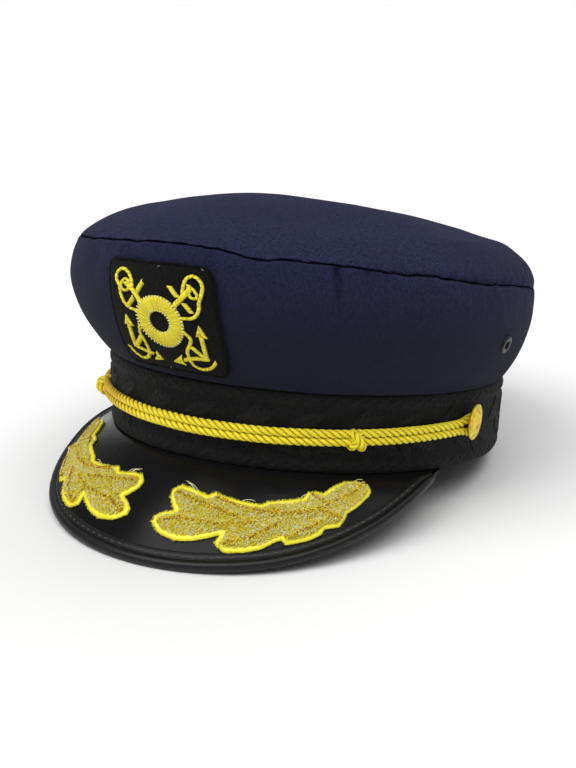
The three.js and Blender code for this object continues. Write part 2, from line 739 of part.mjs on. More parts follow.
addPiece("crown_side", sidePanel(), 0x23264a, 0.9);
addPiece("crown_top", topPanel(), 0x282c55, 0.9);
const band = addPiece("hat_band", bandRing(), 0x161618, 0.95);
addPiece("peak", peakShell(), 0x0b0b0d, 0.25);
const rim = addPiece("peak_rim", rimBinding(), 0x0d0d0f, 0.3);
addPiece("badge_patch", badgePatch(), 0x121214, 0.95);
addPiece("badge_emblem", emblem(), 0xe0cc30, 0.6);
addPiece("chin_cord", chinCord(), gold, 0.6);
for (const [name, side] of [["left", 1], ["right", -1]]) {
  addPiece(`oak_spray_${name}`, joined(leafTable.map((leaf) => oakLeaf(side, leaf))), gold, 0.6);
  addPiece(`cord_knot_${name}`, cordKnot(side), gold, 0.6);
  const button = addPiece(`button_${name}`, buttonShape(), 0xd0a030, 0.35, 1);
  standOn(footing(bandPoint, side * buttonAngle, cordZ(buttonAngle)), button);
  const eyelet = addPiece(`eyelet_${name}`, eyeletShape(), 0x3a3a3e, 0.4, 1);
  standOn(footing(sidePoint, side * eyeletAngle, eyeletShare), eyelet);
}

// The cap is pitched back about the rear of its band until its rim meets the ground
function restPitch() {
  const rear = new THREE.Vector3(0, bandLength / 2, restFlat);
  const position = rim.geometry.attributes.position;
  let slope = 0;
  for (let at = 0; at < position.count; at += 1) {
    slope = Math.max(slope, (rear.z - position.getZ(at)) / (rear.y - position.getY(at)));
  }
  return Math.atan(slope);
}

// What the ground presses flat at the rear of the band is cut off by the ground's plane
function pressedFlat(geometry, pitch) {
  const ground = new THREE.BoxGeometry(bandWidth * 2, bandLength * 3, bandHeight);
  ground.translate(0, 0, -bandHeight / 2);
  ground.rotateX(pitch);
  ground.translate(0, bandLength / 2, restFlat);
  return geometryOf(solidOf(geometry).subtract(solidOf(ground)));
}

const pitch = restPitch();
band.geometry = pressedFlat(band.geometry, pitch);
cap.rotation.x = -pitch;
cap.position.z = (bandLength / 2) * Math.sin(pitch) - restFlat * Math.cos(pitch);

// The origin is on the ground under the middle of the cap's outline
const middle = new THREE.Box3().setFromObject(cap, true).getCenter(new THREE.Vector3());
cap.position.x -= middle.x;
cap.position.y -= middle.y;

const captainHat = new THREE.Group();
captainHat.add(cap);

export default captainHat;
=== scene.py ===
"""The looks of a captain's cap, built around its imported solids.

Sizes are in millimetres in the cap's own upright frame, where the band's lower edge is the
plane z = 0, the front looks along -Y and angles run from the front to the wearer's left (+X).
placed() pitches that frame back and gives metres in the frame that the solids are in.
"""
import math

import bpy
import numpy as np
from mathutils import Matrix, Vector, noise as perlin


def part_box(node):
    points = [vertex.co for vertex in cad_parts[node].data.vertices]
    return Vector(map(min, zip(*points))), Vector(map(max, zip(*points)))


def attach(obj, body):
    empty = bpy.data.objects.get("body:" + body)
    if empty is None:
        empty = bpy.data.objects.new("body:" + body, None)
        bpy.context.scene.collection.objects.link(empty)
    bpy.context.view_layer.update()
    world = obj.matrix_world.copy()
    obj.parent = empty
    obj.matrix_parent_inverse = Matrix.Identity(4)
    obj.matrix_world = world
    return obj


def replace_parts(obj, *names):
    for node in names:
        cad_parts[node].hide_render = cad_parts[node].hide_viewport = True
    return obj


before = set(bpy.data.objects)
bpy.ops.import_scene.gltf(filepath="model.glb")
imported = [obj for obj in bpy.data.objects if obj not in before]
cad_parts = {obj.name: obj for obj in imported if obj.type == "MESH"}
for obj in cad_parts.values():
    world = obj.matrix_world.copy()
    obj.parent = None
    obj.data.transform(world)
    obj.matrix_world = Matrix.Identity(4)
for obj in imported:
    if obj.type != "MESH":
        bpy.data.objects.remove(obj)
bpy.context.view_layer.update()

# Sizes of the solids, which this model's own surfaces follow
PITCH = math.radians(9.4585)
BAND_WIDTH, BAND_LENGTH, BAND_HEIGHT, BAND_WALL = 176.0, 198.6, 33.7, 2.2
BAND_FLARE, BAND_FORWARD = 1.2, 3.2
GAP, CLOTH = 0.3, 1.9  # between neighbouring pieces, and through the crown's cloth
SEAM_WIDTH, SEAM_LENGTH, SEAM_FORWARD, SEAM_HEIGHT = 201.0, 235.6, 8.0, 91.5
PUFF_MIDDLE, PUFF_CHANGE, SIDE_FULLNESS = 6.3, 5.1, 0.84
DOME_HEIGHT, TOP_ROLL = 28.6, 3.7
DOME_FLAT, DOME_SHOULDER, DOME_CHANGE = 2.7, 1.5, 0.65
ROLL_SHARE, ROLL_CHANGE, WALL_TURN = 0.3, 0.6, 0.06
FOLD_POWER, FOLD_FADE = 1.5, 0.1
PEAK_REACH, PEAK_DROP, PEAK_WALL, PEAK_HALF_ANGLE, PEAK_CURVE = 36.4, 37.2, 2.0, 75.0, 1.18
RIM_WIDTH, RIM_LIP, RIM_END = 6.4, 1.3, 0.93
CORD_DIAMETER, CORD_HEIGHT, CORD_SAG = 3.6, 18.9, 4.3
KNOT_ANGLE = 47.5
BUTTON_ANGLE, BUTTON_DIAMETER, BUTTON_SHANK, BUTTON_DOME = 84.5, 16.0, 5.0, 2.6
EYELET_ANGLE, EYELET_SHARE, EYELET_DIAMETER, EYELET_BARREL, EYELET_HOLE = 88.5, 0.47, 8.0, 5.0, 3.4
BADGE_ACROSS, BADGE_SHARE, BADGE_THICK = 1.2, 0.46, 1.3

# Height of the crown seam by angle, as a share of SEAM_HEIGHT
SEAM_TABLE = (
    (-180, 0.737), (-150, 0.753), (-120, 0.8), (-90, 0.86), (-60, 0.92), (-40, 0.948), (-22, 0.97),
    (0, 0.998), (15, 1.004), (26, 0.976), (40, 0.963), (60, 0.938), (90, 0.868), (120, 0.801),
    (150, 0.753), (180, 0.737),
)

# Reach and drop of the peak's edge by angle, as shares of PEAK_HALF_ANGLE, PEAK_REACH and PEAK_DROP
PEAK_TABLE = (
    (0, 1.0, 1.0), (0.13, 0.984, 0.985), (0.26, 0.94, 0.93), (0.39, 0.858, 0.84), (0.52, 0.74, 0.69),
    (0.66, 0.58, 0.475), (0.79, 0.4, 0.24), (0.9, 0.21, 0.08), (1.0, 0.02, 0.0),
)

# Folds and gathers of the side panel: angle, spread, depth as a share of PUFF_MIDDLE,
# and the share of the panel's height that the fold takes from the seam down
FOLD_TABLE = (
    (-58, 5.0, 0.12, 0.3), (-41, 3.6, 0.2, 0.35), (-19, 4.0, 0.16, 0.8), (18.5, 4.0, 0.16, 0.8),
    (40, 3.6, 0.26, 0.35), (48.5, 3.6, 0.14, 0.22), (118, 5.0, 0.12, 0.4), (-130, 5.0, 0.12, 0.4),
)

# How far the sewn line lies over or under its even run, in millimetres by angle
SEAM_SHIFT = (
    (-180, 0.0), (-70, -0.6), (-40, -1.7), (-22, -2.1), (-10, -1.7), (8, -1.5), (13, -2.3), (26, -1.9),
    (31, -0.3), (50, -0.7), (68, -0.35), (80, 0.2), (92, 1.5), (104, 1.8), (140, 0.3), (180, 0.0),
)

# Small pinches under the seam: angle, spread in degrees, depth in millimetres, share of the height
PINCHES = (
    (39.4, 0.8, -0.9, 0.36), (41.0, 0.8, 2.8, 0.38), (42.8, 0.8, -1.1, 0.34), (47.4, 1.1, 1.5, 0.42),
    (14.2, 0.8, 1.4, 0.42), (17.3, 0.9, -1.0, 0.42), (-7.0, 1.0, 0.5, 0.25), (62.0, 1.2, 0.6, 0.25),
    (-150.0, 1.4, 1.2, 0.35), (128.0, 1.3, 1.1, 0.3), (-75.0, 1.2, 0.9, 0.3), (165.0, 1.2, 1.0, 0.3),
)


def rad(angle):
    return np.radians(angle)


def lerp(low, high, share):
    return low + (high - low) * share


def smooth(low, high, value):
    share = np.clip((value - low) / (high - low), 0, 1)
    return share * share * (3 - 2 * share)


def vectors(x, y, z):
    return np.stack(np.broadcast_arrays(x, y, z), -1).astype(float)


def unit(rows):
    return rows / np.maximum(np.linalg.norm(rows, axis=-1, keepdims=True), 1e-12)


def read_table(rows, column, at):
    """A smooth curve through a table's rows, read at an angle or share."""
    places = np.array([row[0] for row in rows], float)
    values = np.array([row[column] for row in rows], float)
    slopes = np.zeros(len(rows))
    slopes[1:-1] = (values[2:] - values[:-2]) / (places[2:] - places[:-2])
    slopes[-1] = (values[-1] - values[-2]) / (places[-1] - places[-2])
    at = np.clip(at, places[0], places[-1])
    row = np.clip(np.searchsorted(places, at, side="right") - 1, 0, len(rows) - 2)
    span = places[row + 1] - places[row]
    share = (at - places[row]) / span
    square, cube = share**2, share**3
    return (
        (2 * cube - 3 * square + 1) * values[row]
        + (cube - 2 * square + share) * slopes[row] * span
        + (3 * square - 2 * cube) * values[row + 1]
        + (cube - square) * slopes[row + 1] * span
    )


def wrap_angle(angle):
    return (np.asarray(angle, float) + 180) % 360 - 180


def noise(points, size, seed=0.0):
    """Smooth noise between about -1 and 1 with features of that size, at points in millimetres."""
    flat = np.asarray(points, float).reshape(-1, 3) / size + seed
    values = [perlin.noise(Vector(row)) for row in flat]
    return np.array(values).reshape(np.shape(points)[:-1])


def crossed(first, second):
    """Each value of one list with each of another, as two grids."""
    return np.meshgrid(first, second, indexing="ij")


def flat_noise(x, y, size, seed):
    return noise(vectors(x, y, 0.0), size, seed)


def seeded(count, seed, low=0.0, high=1.0):
    """The same random numbers each run."""
    return np.random.default_rng(seed).uniform(low, high, count)


def running_length(points):
    steps = np.linalg.norm(np.diff(points, axis=0), axis=1)
    return np.concatenate([[0], np.cumsum(steps)])


def tangent(line, closed=False):
    """Unit directions along a line, or along each of several lines of points."""
    if closed:
        return unit(np.roll(line, -1, -2) - np.roll(line, 1, -2))
    return unit(np.gradient(line, axis=-2))


def leftward(along):
    """Flat directions square to others, on their left."""
    return np.stack([-along[..., 1], along[..., 0]], -1)


def even_steps(points, step, closed):
    """The same line, resampled in even steps, and how far along it each point is."""
    if closed:
        points = np.concatenate([points, points[:1]])
    run = running_length(points)
    count = max(int(round(run[-1] / step)), 4)
    at = np.linspace(0, run[-1], count + 1)
    if closed:
        at = at[:-1]
    return np.stack([np.interp(at, run, column) for column in points.T], -1), at


def smooth_line(corners, step):
    """A smooth line through corners, in even steps."""
    corners = np.array(corners, float)
    before = np.concatenate([2 * corners[:1] - corners[1:2], corners, 2 * corners[-1:] - corners[-2:-1]])
    share = np.linspace(0, 1, 13)[:-1, None]
    parts = []
    for first, start, end, last in zip(before, before[1:], before[2:], before[3:]):
        bend = 2 * first - 5 * start + 4 * end - last
        curl = 3 * start - first - 3 * end + last
        parts.append(0.5 * (2 * start + (end - first) * share + bend * share**2 + curl * share**3))
    return even_steps(np.concatenate([*parts, corners[-1:]]), step, False)[0]


# Surfaces of the cap
def ring_point(angle, half_width, half_length, forward, height):
    turn = rad(angle)
    return vectors(half_width * np.sin(turn), -forward - half_length * np.cos(turn), height)


def outward_of(angle, half_width, half_length):
    turn = rad(angle)
    return unit(vectors(np.sin(turn) / half_width, -np.cos(turn) / half_length, 0.0))


def band_point(angle, height, outset=0.0):
    share = np.asarray(height, float) / BAND_HEIGHT
    half_width = BAND_WIDTH / 2 + BAND_FLARE * share
    half_length = BAND_LENGTH / 2 + BAND_FLARE * share
    point = ring_point(angle, half_width, half_length, BAND_FORWARD * share, height)
    return point + outward_of(angle, half_width, half_length) * np.asarray(outset, float)[..., None]


def seam_point(angle):
    height = SEAM_HEIGHT * read_table(SEAM_TABLE, 1, wrap_angle(angle))
    return ring_point(angle, SEAM_WIDTH / 2, SEAM_LENGTH / 2, SEAM_FORWARD, height)


def crown_outward(angle):
    return outward_of(angle, SEAM_WIDTH / 2, SEAM_LENGTH / 2)


def even_seam_height(angle):
    back, front = [read_table(SEAM_TABLE, 1, end) for end in (180, 0)]
    return SEAM_HEIGHT * lerp(back, front, (1 + np.cos(rad(angle))) / 2)


def fold_depth(angle, share):
    total = 0.0
    for at, spread, depth, run in FOLD_TABLE:
        across = np.exp(-((wrap_angle(angle - at) / spread) ** 2))
        down = np.maximum(0, 1 - (1 - share) / run)
        total = total + depth * PUFF_MIDDLE * across * down**FOLD_POWER
    return total * np.minimum((1 - share) / FOLD_FADE, 1)


def side_point(angle, share, outset=0.0):
    """The side panel's outer face: share 0 at the band, 1 at the seam."""
    low, high = band_point(angle, BAND_HEIGHT), seam_point(angle)
    point = low + (high - low) * np.asarray(share, float)[..., None]
    puff = PUFF_MIDDLE + PUFF_CHANGE * np.cos(rad(angle))
    swell = puff * np.sin(math.pi * np.clip(share, 0, 1)) ** SIDE_FULLNESS
    out = swell - fold_depth(angle, share) + outset
    return point + crown_outward(angle) * np.asarray(out, float)[..., None]


def top_point(angle, share, wall=0.0):
    """The top panel's outer face: share 1 at the seam, 0 at the middle of the top."""
    front = np.cos(rad(angle))
    seam = seam_point(angle)
    wave = (seam[..., 2] - even_seam_height(angle)) * (1 - share**4)
    middle = np.array([0.0, -SEAM_FORWARD, even_seam_height(90)])
    flat, shoulder = DOME_FLAT - DOME_CHANGE * front, DOME_SHOULDER - DOME_CHANGE * front
    rise = (1 - share**flat) ** (1 / shoulder)
    roll = TOP_ROLL * (1 - ROLL_CHANGE * front) * np.sin(math.pi * np.minimum((1 - share) / ROLL_SHARE, 1))
    turned = np.minimum((1 - share) / WALL_TURN, 1)
    point = middle + (seam - middle) * np.asarray(share, float)[..., None]
    point[..., 2] += DOME_HEIGHT * rise - wave * share + GAP / 2 - wall * turned
    return point + crown_outward(angle) * (roll - wall * (1 - turned))[..., None]


def peak_size(angle):
    place = np.abs(angle) / PEAK_HALF_ANGLE
    return PEAK_REACH * read_table(PEAK_TABLE, 1, place), PEAK_DROP * read_table(PEAK_TABLE, 2, place)


def peak_point(angle, share):
    """The peak's upper face: share 0 at the band's outer face, 1 at its edge."""
    reach, drop = peak_size(angle)
    point = band_point(angle, 0.0, reach * share)
    point[..., 2] -= GAP + drop * np.maximum(share, 0) ** PEAK_CURVE
    return point


def peak_frame(angle, share):
    """Outward slope and upward normal of the peak."""
    step = 0.01
    along = peak_point(angle + step, share) - peak_point(angle - step, share)
    outward = peak_point(angle, share + step) - peak_point(angle, np.maximum(share - step, 0))
    up = unit(np.cross(outward, along))
    up = np.where(up[..., 2:] < 0, -up, up)
    return unit(outward), up


def peak_edge(angle):
    return np.maximum(1 - (RIM_LIP + GAP) / peak_size(angle)[0], 0.3)


# The pitch brings the band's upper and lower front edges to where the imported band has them
band_low, band_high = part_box("hat_band")
front_low = BAND_LENGTH / 2
front_high = front_low + BAND_FLARE + BAND_FORWARD
LIFT = band_high.z * 1000 - front_high * math.sin(PITCH) - (BAND_HEIGHT - GAP) * math.cos(PITCH)
SHIFT = band_low.y * 1000 + front_low * math.cos(PITCH)


def placed(points):
    points = np.asarray(points, float)
    x, y, z = points[..., 0], points[..., 1], points[..., 2]
    ahead = y * math.cos(PITCH) + z * math.sin(PITCH) + SHIFT
    above = z * math.cos(PITCH) - y * math.sin(PITCH) + LIFT
    return vectors(x, ahead, above) / 1000


# Meshes
def mesh_object(name, points, quads, maps, material, body="root"):
    """An object of quads over points in the cap's frame, with its map in metres per face corner."""
    mesh = bpy.data.meshes.new(name)
    quads = np.asarray(quads, np.int32)
    mesh.vertices.add(len(points))
    mesh.vertices.foreach_set("co", placed(points).astype(np.float32).ravel())
    mesh.loops.add(quads.size)
    mesh.loops.foreach_set("vertex_index", quads.ravel())
    mesh.polygons.add(len(quads))
    mesh.polygons.foreach_set("loop_start", np.arange(0, quads.size, quads.shape[1], dtype=np.int32))
    mesh.polygons.foreach_set("loop_total", np.full(len(quads), quads.shape[1], np.int32))
    mesh.polygons.foreach_set("use_smooth", np.ones(len(quads), bool))
    mesh.uv_layers.new(name="map").data.foreach_set("uv", maps.astype(np.float32).ravel())
    mesh.update(calc_edges=True)
    mesh.validate()
    mesh.materials.append(material)
    made = bpy.data.objects.new(name, mesh)
    bpy.context.scene.collection.objects.link(made)
    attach(made, body)
    return made


def grid_faces(columns, rows, wrap_columns, wrap_rows):
    """Quads between the points of a grid, and each quad's column and row at its corners."""
    across = columns if wrap_columns else columns - 1
    down = rows if wrap_rows else rows - 1
    column, row = [part.ravel() for part in crossed(np.arange(across), np.arange(down))]
    corners = ((column, row), (column + 1, row), (column + 1, row + 1), (column, row + 1))
    quads = np.stack([c % columns * rows + r % rows for c, r in corners], -1)
    spots = np.stack([np.stack([c, r], -1) for c, r in corners], 1)
    return quads, spots


class Batch:
    """Quads gathered for one object, with each point's tint and each corner's map."""

    def __init__(self):
        self.points, self.quads, self.maps, self.tints, self.count = [], [], [], [], 0

    def add(self, points, quads, maps, tint=0.0):
        points = points.reshape(-1, 3)
        self.points.append(points)
        self.quads.append(quads + self.count)
        self.maps.append(maps)
        self.tints.append(np.broadcast_to(tint, len(points)).astype(float))
        self.count += len(points)

    def grid(self, points, tint=0.0, across=None, down=None, wrap=(False, False), caps=False):
        """A grid of points; its rows may be closed rings, capped at the first and last column."""
        columns, rows = points.shape[:2]
        quads, spots = grid_faces(columns, rows, *wrap)
        across = np.arange(columns + 1) / 1000 if across is None else np.append(across, across[-1])
        down = np.arange(rows + 1) / 1000 if down is None else np.append(down, down[-1])
        maps = np.stack([across[spots[..., 0]], down[spots[..., 1]]], -1)
        if caps:
            at = np.arange(rows // 2 - 1)
            first = np.stack([at, at + 1, rows - 2 - at, rows - 1 - at], -1)
            last = first[:, ::-1] + (columns - 1) * rows
            quads = np.concatenate([quads, first, last])
            ends = np.zeros((len(first) * 2, 4, 2))
            maps = np.concatenate([maps, ends])
        self.add(points, quads, maps, np.ravel(tint) if np.size(tint) > 1 else tint)

    def tubes(self, paths, outward, radius, sides=6, closed=False, tint=0.0, point=1.0, hollow=0.0):
        """Round tubes along many paths at once; outward is each path point's upper side.

        point narrows their two ends, and the last argument takes the tint down towards each tube's lower side
        as painted shade.
        """
        count, steps = paths.shape[:2]
        along = tangent(paths, closed)
        across = unit(np.cross(along, outward))
        up = np.cross(across, along)
        radius = np.array(np.broadcast_to(radius, (count, steps)))
        if not closed:
            radius[:, [0, -1]] *= point
        turn = math.tau * (np.arange(sides) + 0.5) / sides
        ring = across[:, :, None] * np.cos(turn)[:, None] + up[:, :, None] * np.sin(turn)[:, None]
        points = paths[:, :, None] + ring * radius[..., None, None]
        lengths = np.linalg.norm(np.diff(paths, axis=1), axis=2)
        run = np.concatenate([np.zeros((count, 1)), np.cumsum(lengths, 1)], 1)
        tint = np.asarray(tint, float)
        tint = np.broadcast_to(tint if tint.ndim == 2 else tint.reshape(-1, 1), (count, steps))
        one, spots = grid_faces(steps, sides, closed, True)
        caps = np.arange(sides // 2 - 1)
        first = np.stack([caps + 1, caps, sides - 1 - caps, sides - 2 - caps], -1)
        if not closed:
            one = np.concatenate([one, first[:, ::-1], first + (steps - 1) * sides])
        around = math.tau * np.mean(radius) * spots[..., 1] / sides
        quads = (one + (np.arange(count) * steps * sides)[:, None, None]).reshape(-1, 4)
        ends = np.append(run, run[:, -1:], 1)
        maps = np.stack([ends[:, spots[..., 0]], np.broadcast_to(around, (count, *around.shape))], -1)
        if not closed:
            maps = np.concatenate([maps, np.zeros((count, 2 * len(first), 4, 2))], 1)
        # painted shade: the tint falls towards each tube's lower side
        tint = tint[..., None] + hollow * (np.sin(turn) - 1) / 2
        self.add(points, quads, maps.reshape(-1, 4, 2) / 1000, tint.ravel())

    def made(self, name, finish, slot, *nodes):
        points, quads = np.concatenate(self.points), np.concatenate(self.quads)
        made = mesh_object(name, points, quads, np.concatenate(self.maps), finish)
        tint = made.data.attributes.new("tint", "FLOAT", "POINT")
        tint.data.foreach_set("value", np.concatenate(self.tints).astype(np.float32))
        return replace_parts(made, *nodes)


class Finish:
    """A material: a principled shader with helpers that make and link nodes."""

    def __init__(self, name, colour, roughness, **sockets):
        self.material = bpy.data.materials.new(name)
        self.material.use_nodes = True
        self.material.diffuse_color = (*colour, 1)
        self.tree = self.material.node_tree
        self.shader = self.tree.nodes["Principled BSDF"]
        self.set(Base_Color=(*colour, 1), Roughness=roughness, **sockets)

    def set(self, **sockets):
        for name, value in sockets.items():
            self.feed(self.shader.inputs[name.replace("_", " ")], value)

    def feed(self, socket, value):
        if isinstance(value, bpy.types.NodeSocket):
            self.tree.links.new(value, socket)
        elif value is not None:
            socket.default_value = value

    def add(self, kind, *inputs, **settings):
        made = self.tree.nodes.new("ShaderNode" + kind)
        for key, value in settings.items():
            setattr(made, key, value)
        for socket, value in zip(made.inputs, inputs):
            self.feed(socket, value)
        return made

    def map(self):
        return self.add("UVMap", uv_map="map").outputs[0]

    def place(self):
        return self.add("TexCoord").outputs["Object"]

    def tint(self):
        return self.add("Attribute", attribute_name="tint").outputs["Fac"]

    def math(self, operation, *values):
        return self.add("Math", *values, operation=operation).outputs[0]

    def total(self, first, first_weight, second, second_weight):
        """The sum of two values, each times its weight."""
        parts = [value if weight == 1 else self.math("MULTIPLY", value, weight)
                 for value, weight in ((first, first_weight), (second, second_weight))]
        return self.math("ADD", *parts)

    def scaled(self, vector, scale, turn=0.0):
        return self.add("Mapping", vector, None, (0, 0, turn), scale).outputs[0]

    def noise(self, vector, scale, detail=3.0, roughness=0.55):
        return self.add("TexNoise", vector, None, scale, detail, roughness).outputs[0]

    def wave(self, vector, period, distortion=1.0):
        """Bands across the first axis, between 0 and 1, with a period in metres."""
        bands_per_metre = math.tau / 20 / period
        return self.add("TexWave", vector, bands_per_metre, distortion, 2.0, 1.0).outputs[1]

    def ramp(self, value, *stops):
        made = self.add("ValToRGB", value)
        ramp = made.color_ramp
        while len(ramp.elements) < len(stops):
            ramp.elements.new(0.5)
        for element, (at, colour) in zip(ramp.elements, stops):
            element.position = at
            element.color = (*colour, 1)
        return made.outputs[0]

    def range(self, value, low, high, to_low=0.0, to_high=1.0):
        return self.add("MapRange", value, low, high, to_low, to_high).outputs[0]

    def mix(self, factor, first, second):
        made = self.add("Mix", data_type="RGBA")
        self.feed(made.inputs[0], factor)
        self.feed(made.inputs[6], first)
        self.feed(made.inputs[7], second)
        return made.outputs[2]

    def bump(self, height, distance, normal=None):
        made = self.add("Bump")
        self.feed(made.inputs["Height"], height)
        made.inputs["Distance"].default_value = distance
        self.feed(made.inputs["Normal"], normal)
        return made.outputs[0]


def colours(*rows):
    return [(*row, 1.0) for row in rows]


def navy_cloth(name, side_shaded_low=False):
    """Wool twill: fine diagonal ribs, uneven threads and a little fuzz; the side's has painted shade low
    down.
    """
    made = Finish(name, (0.017, 0.019, 0.05), 0.92,
                  Sheen_Weight=0.02, Sheen_Roughness=0.5, Specular_IOR_Level=0.12)
    cloth = made.map()
    ribs = made.wave(made.scaled(cloth, (1, 1, 1), math.radians(58)), 0.0009, 3.0)
    slubs = made.noise(made.scaled(cloth, (900, 300, 1), math.radians(58)), 1.0)
    flecks = made.noise(made.place(), 900.0, 3.0, 0.7)
    patches = made.noise(made.place(), 24.0, 4.0)
    threads = made.total(ribs, 0.25, slubs, 1)
    grain = made.total(threads, 0.45, flecks, 0.9)
    dark, light, dull = colours((0.0052, 0.0062, 0.0145), (0.0235, 0.0268, 0.081), (0.01, 0.0113, 0.031))
    colour = made.mix(made.range(grain, *((0.52, 0.92) if side_shaded_low else (0.57, 0.87))), dark, light)
    soft = made.math("MULTIPLY", made.range(patches, 0.4, 0.75), 0.6)
    colour = made.mix(soft, colour, dull)
    if side_shaded_low:
        # painted shade: the side's colour goes darker and greyer towards the band, with an uneven edge
        height = made.add("SeparateXYZ", cloth).outputs[1]
        uneven = made.math("ADD", height, made.range(patches, 0.3, 0.7, -0.006, 0.006))
        shaded_colour = made.mix(0.75, colour, (0.0105, 0.0114, 0.0185, 1.0))
        colour = made.mix(made.range(uneven, 0.026, 0.062), shaded_colour, colour)
    made.set(Base_Color=colour)
    fuzz = made.noise(made.place(), 2600.0, 2.0)
    fine = made.bump(flecks, 0.0006, made.bump(threads, 0.00018))
    made.set(Normal=made.bump(fuzz, 0.00012, fine), Roughness=made.range(slubs, 0.3, 0.7, 0.84, 0.98))
    return made.material


def black_braid():
    """Woven mohair braid: crosswise yarns, duller in the ground and silkier on the relief, which is also a
    little lighter as painted highlight.
    """
    made = Finish("black_braid", (0.007, 0.007, 0.0072), 0.8,
                  Sheen_Weight=0.02, Sheen_Roughness=0.4, Specular_IOR_Level=0.2)
    braid = made.map()
    yarns = made.wave(braid, 0.0008, 4.0)
    slubs = made.noise(made.scaled(braid, (900, 1300, 1)), 1.0)
    curls = made.noise(made.place(), 620.0, 3.0, 0.7)
    threads = made.total(yarns, 0.35, slubs, 1)
    dark, light = colours((0.0014, 0.0014, 0.0015), (0.009, 0.0088, 0.0092))
    relief = made.tint()
    # the relief lifts the colour a little: painted highlight on the raised leaves
    tone = made.total(curls, 0.8, relief, 0.12)
    made.set(
        Base_Color=made.mix(made.range(tone, 0.25, 0.7), dark, light),
        Roughness=made.range(relief, 0, 1, 0.82, 0.62),
        Normal=made.bump(curls, 0.001, made.bump(threads, 0.0002)),
    )
    return made.material


def black_vinyl(name, roughness, shine):
    """Patent vinyl: nearly flat black, a faint grain and fine handling marks."""
    made = Finish(name, (0.005, 0.005, 0.0052), roughness,
                  Coat_Weight=0.02, Coat_Roughness=0.15, Specular_IOR_Level=shine)
    place = made.place()
    grain = made.noise(place, 900.0, 3.0)
    waves = made.noise(place, 45.0, 1.0)
    marks = made.noise(place, 130.0, 4.0)
    made.set(
        Roughness=made.range(marks, 0.4, 0.8, roughness - 0.02, roughness + 0.07),
        Normal=made.bump(grain, 0.00004, made.bump(waves, 0.0003)),
    )
    return made.material


def gold_cord():
    """Rayon yarns twisted into a bright yellow cord, with painted shade in the grooves between its plies."""
    made = Finish("gold_cord", (0.9, 0.66, 0.015), 0.4, Sheen_Weight=0.06, Sheen_Roughness=0.4)
    cord = made.map()
    threads = made.wave(made.scaled(cord, (1, 1, 1), math.radians(62)), 0.0006)
    slubs = made.noise(made.scaled(cord, (300, 2400, 1)), 1.0)
    fine = made.total(threads, 1, slubs, 0.6)
    tone = made.total(fine, 0.22, made.tint(), 1)
    # the dark brown low end carries the painted shade of the plies' lower sides and of one front side
    colour = made.ramp(
        tone, (0.0, (0.3, 0.14, 0.002)), (0.3, (0.7, 0.43, 0.005)),
        (0.56, (1.0, 0.78, 0.009)), (0.9, (1.0, 0.91, 0.03)),
    )
    made.set(
        Base_Color=colour,
        Roughness=made.range(slubs, 0.3, 0.7, 0.32, 0.52),
        Normal=made.bump(fine, 0.00016),
    )
    return made.material


def yellow_thread():
    """Yellow rayon floss; its tint runs from the deep threads through the bright ones to pale ends, and
    painted shade takes it down on each thread's lower side.
    """
    made = Finish("yellow_thread", (0.8, 0.7, 0.03), 0.42, Sheen_Weight=0.06, Sheen_Roughness=0.3)
    slubs = made.noise(made.scaled(made.map(), (200, 4000, 1)), 1.0)
    flecks = made.noise(made.place(), 1500.0, 2.0)
    grain = made.total(slubs, 0.2, flecks, 0.3)
    tone = made.total(grain, 1, made.tint(), 0.4)
    colour = made.ramp(
        tone, (0.1, (0.5, 0.36, 0.008)), (0.4, (0.9, 0.8, 0.022)),
        (0.68, (0.97, 0.9, 0.05)), (1.0, (1.0, 0.97, 0.62)),
    )
    made.set(Base_Color=colour, Normal=made.bump(grain, 0.0002))
    return made.material


def gold_bullion():
    """Coiled gilt wire, cut in short lengths: near-white painted glints, worn spots, and painted shade that
    darkens the gaps between the coils.
    """
    made = Finish("gold_bullion", (0.85, 0.66, 0.1), 0.34, Metallic=0.1)
    coils = made.wave(made.map(), 0.0005, 0.6)
    specks = made.noise(made.place(), 1500.0, 2.0, 0.7)
    tone = made.total(specks, 0.5, made.tint(), 0.5)
    # near-white top stop: painted glints; dark bottom stop: painted shade of the chips' lower sides
    colour = made.ramp(
        tone, (0.03, (0.36, 0.14, 0.004)), (0.18, (0.94, 0.56, 0.012)), (0.33, (1.0, 0.8, 0.03)),
        (0.57, (1.0, 0.9, 0.13)), (0.71, (1.0, 0.97, 0.76)),
    )
    made.set(Base_Color=colour, Normal=made.bump(coils, 0.0003))
    return made.material


def gilt_metal():
    made = Finish("gilt_metal", (0.88, 0.66, 0.05), 0.34, Metallic=0.4)
    wear = made.noise(made.place(), 400.0, 4.0)
    worn, fresh = colours((0.62, 0.39, 0.012), (1.0, 0.78, 0.035))
    made.set(
        Base_Color=made.mix(made.range(wear, 0.35, 0.65), worn, fresh),
        Roughness=made.range(wear, 0.3, 0.7, 0.25, 0.42),
        Normal=made.bump(wear, 0.0001),
    )
    return made.material


def dark_metal():
    made = Finish("dark_metal", (0.012, 0.012, 0.013), 0.3, Metallic=0.1, Specular_IOR_Level=0.35)
    wear = made.noise(made.place(), 700.0, 4.0)
    worn, fresh = colours((0.035, 0.034, 0.032), (0.005, 0.005, 0.006))
    made.set(Base_Color=made.mix(made.range(wear, 0.3, 0.55), worn, fresh), Normal=made.bump(wear, 0.0001))
    return made.material


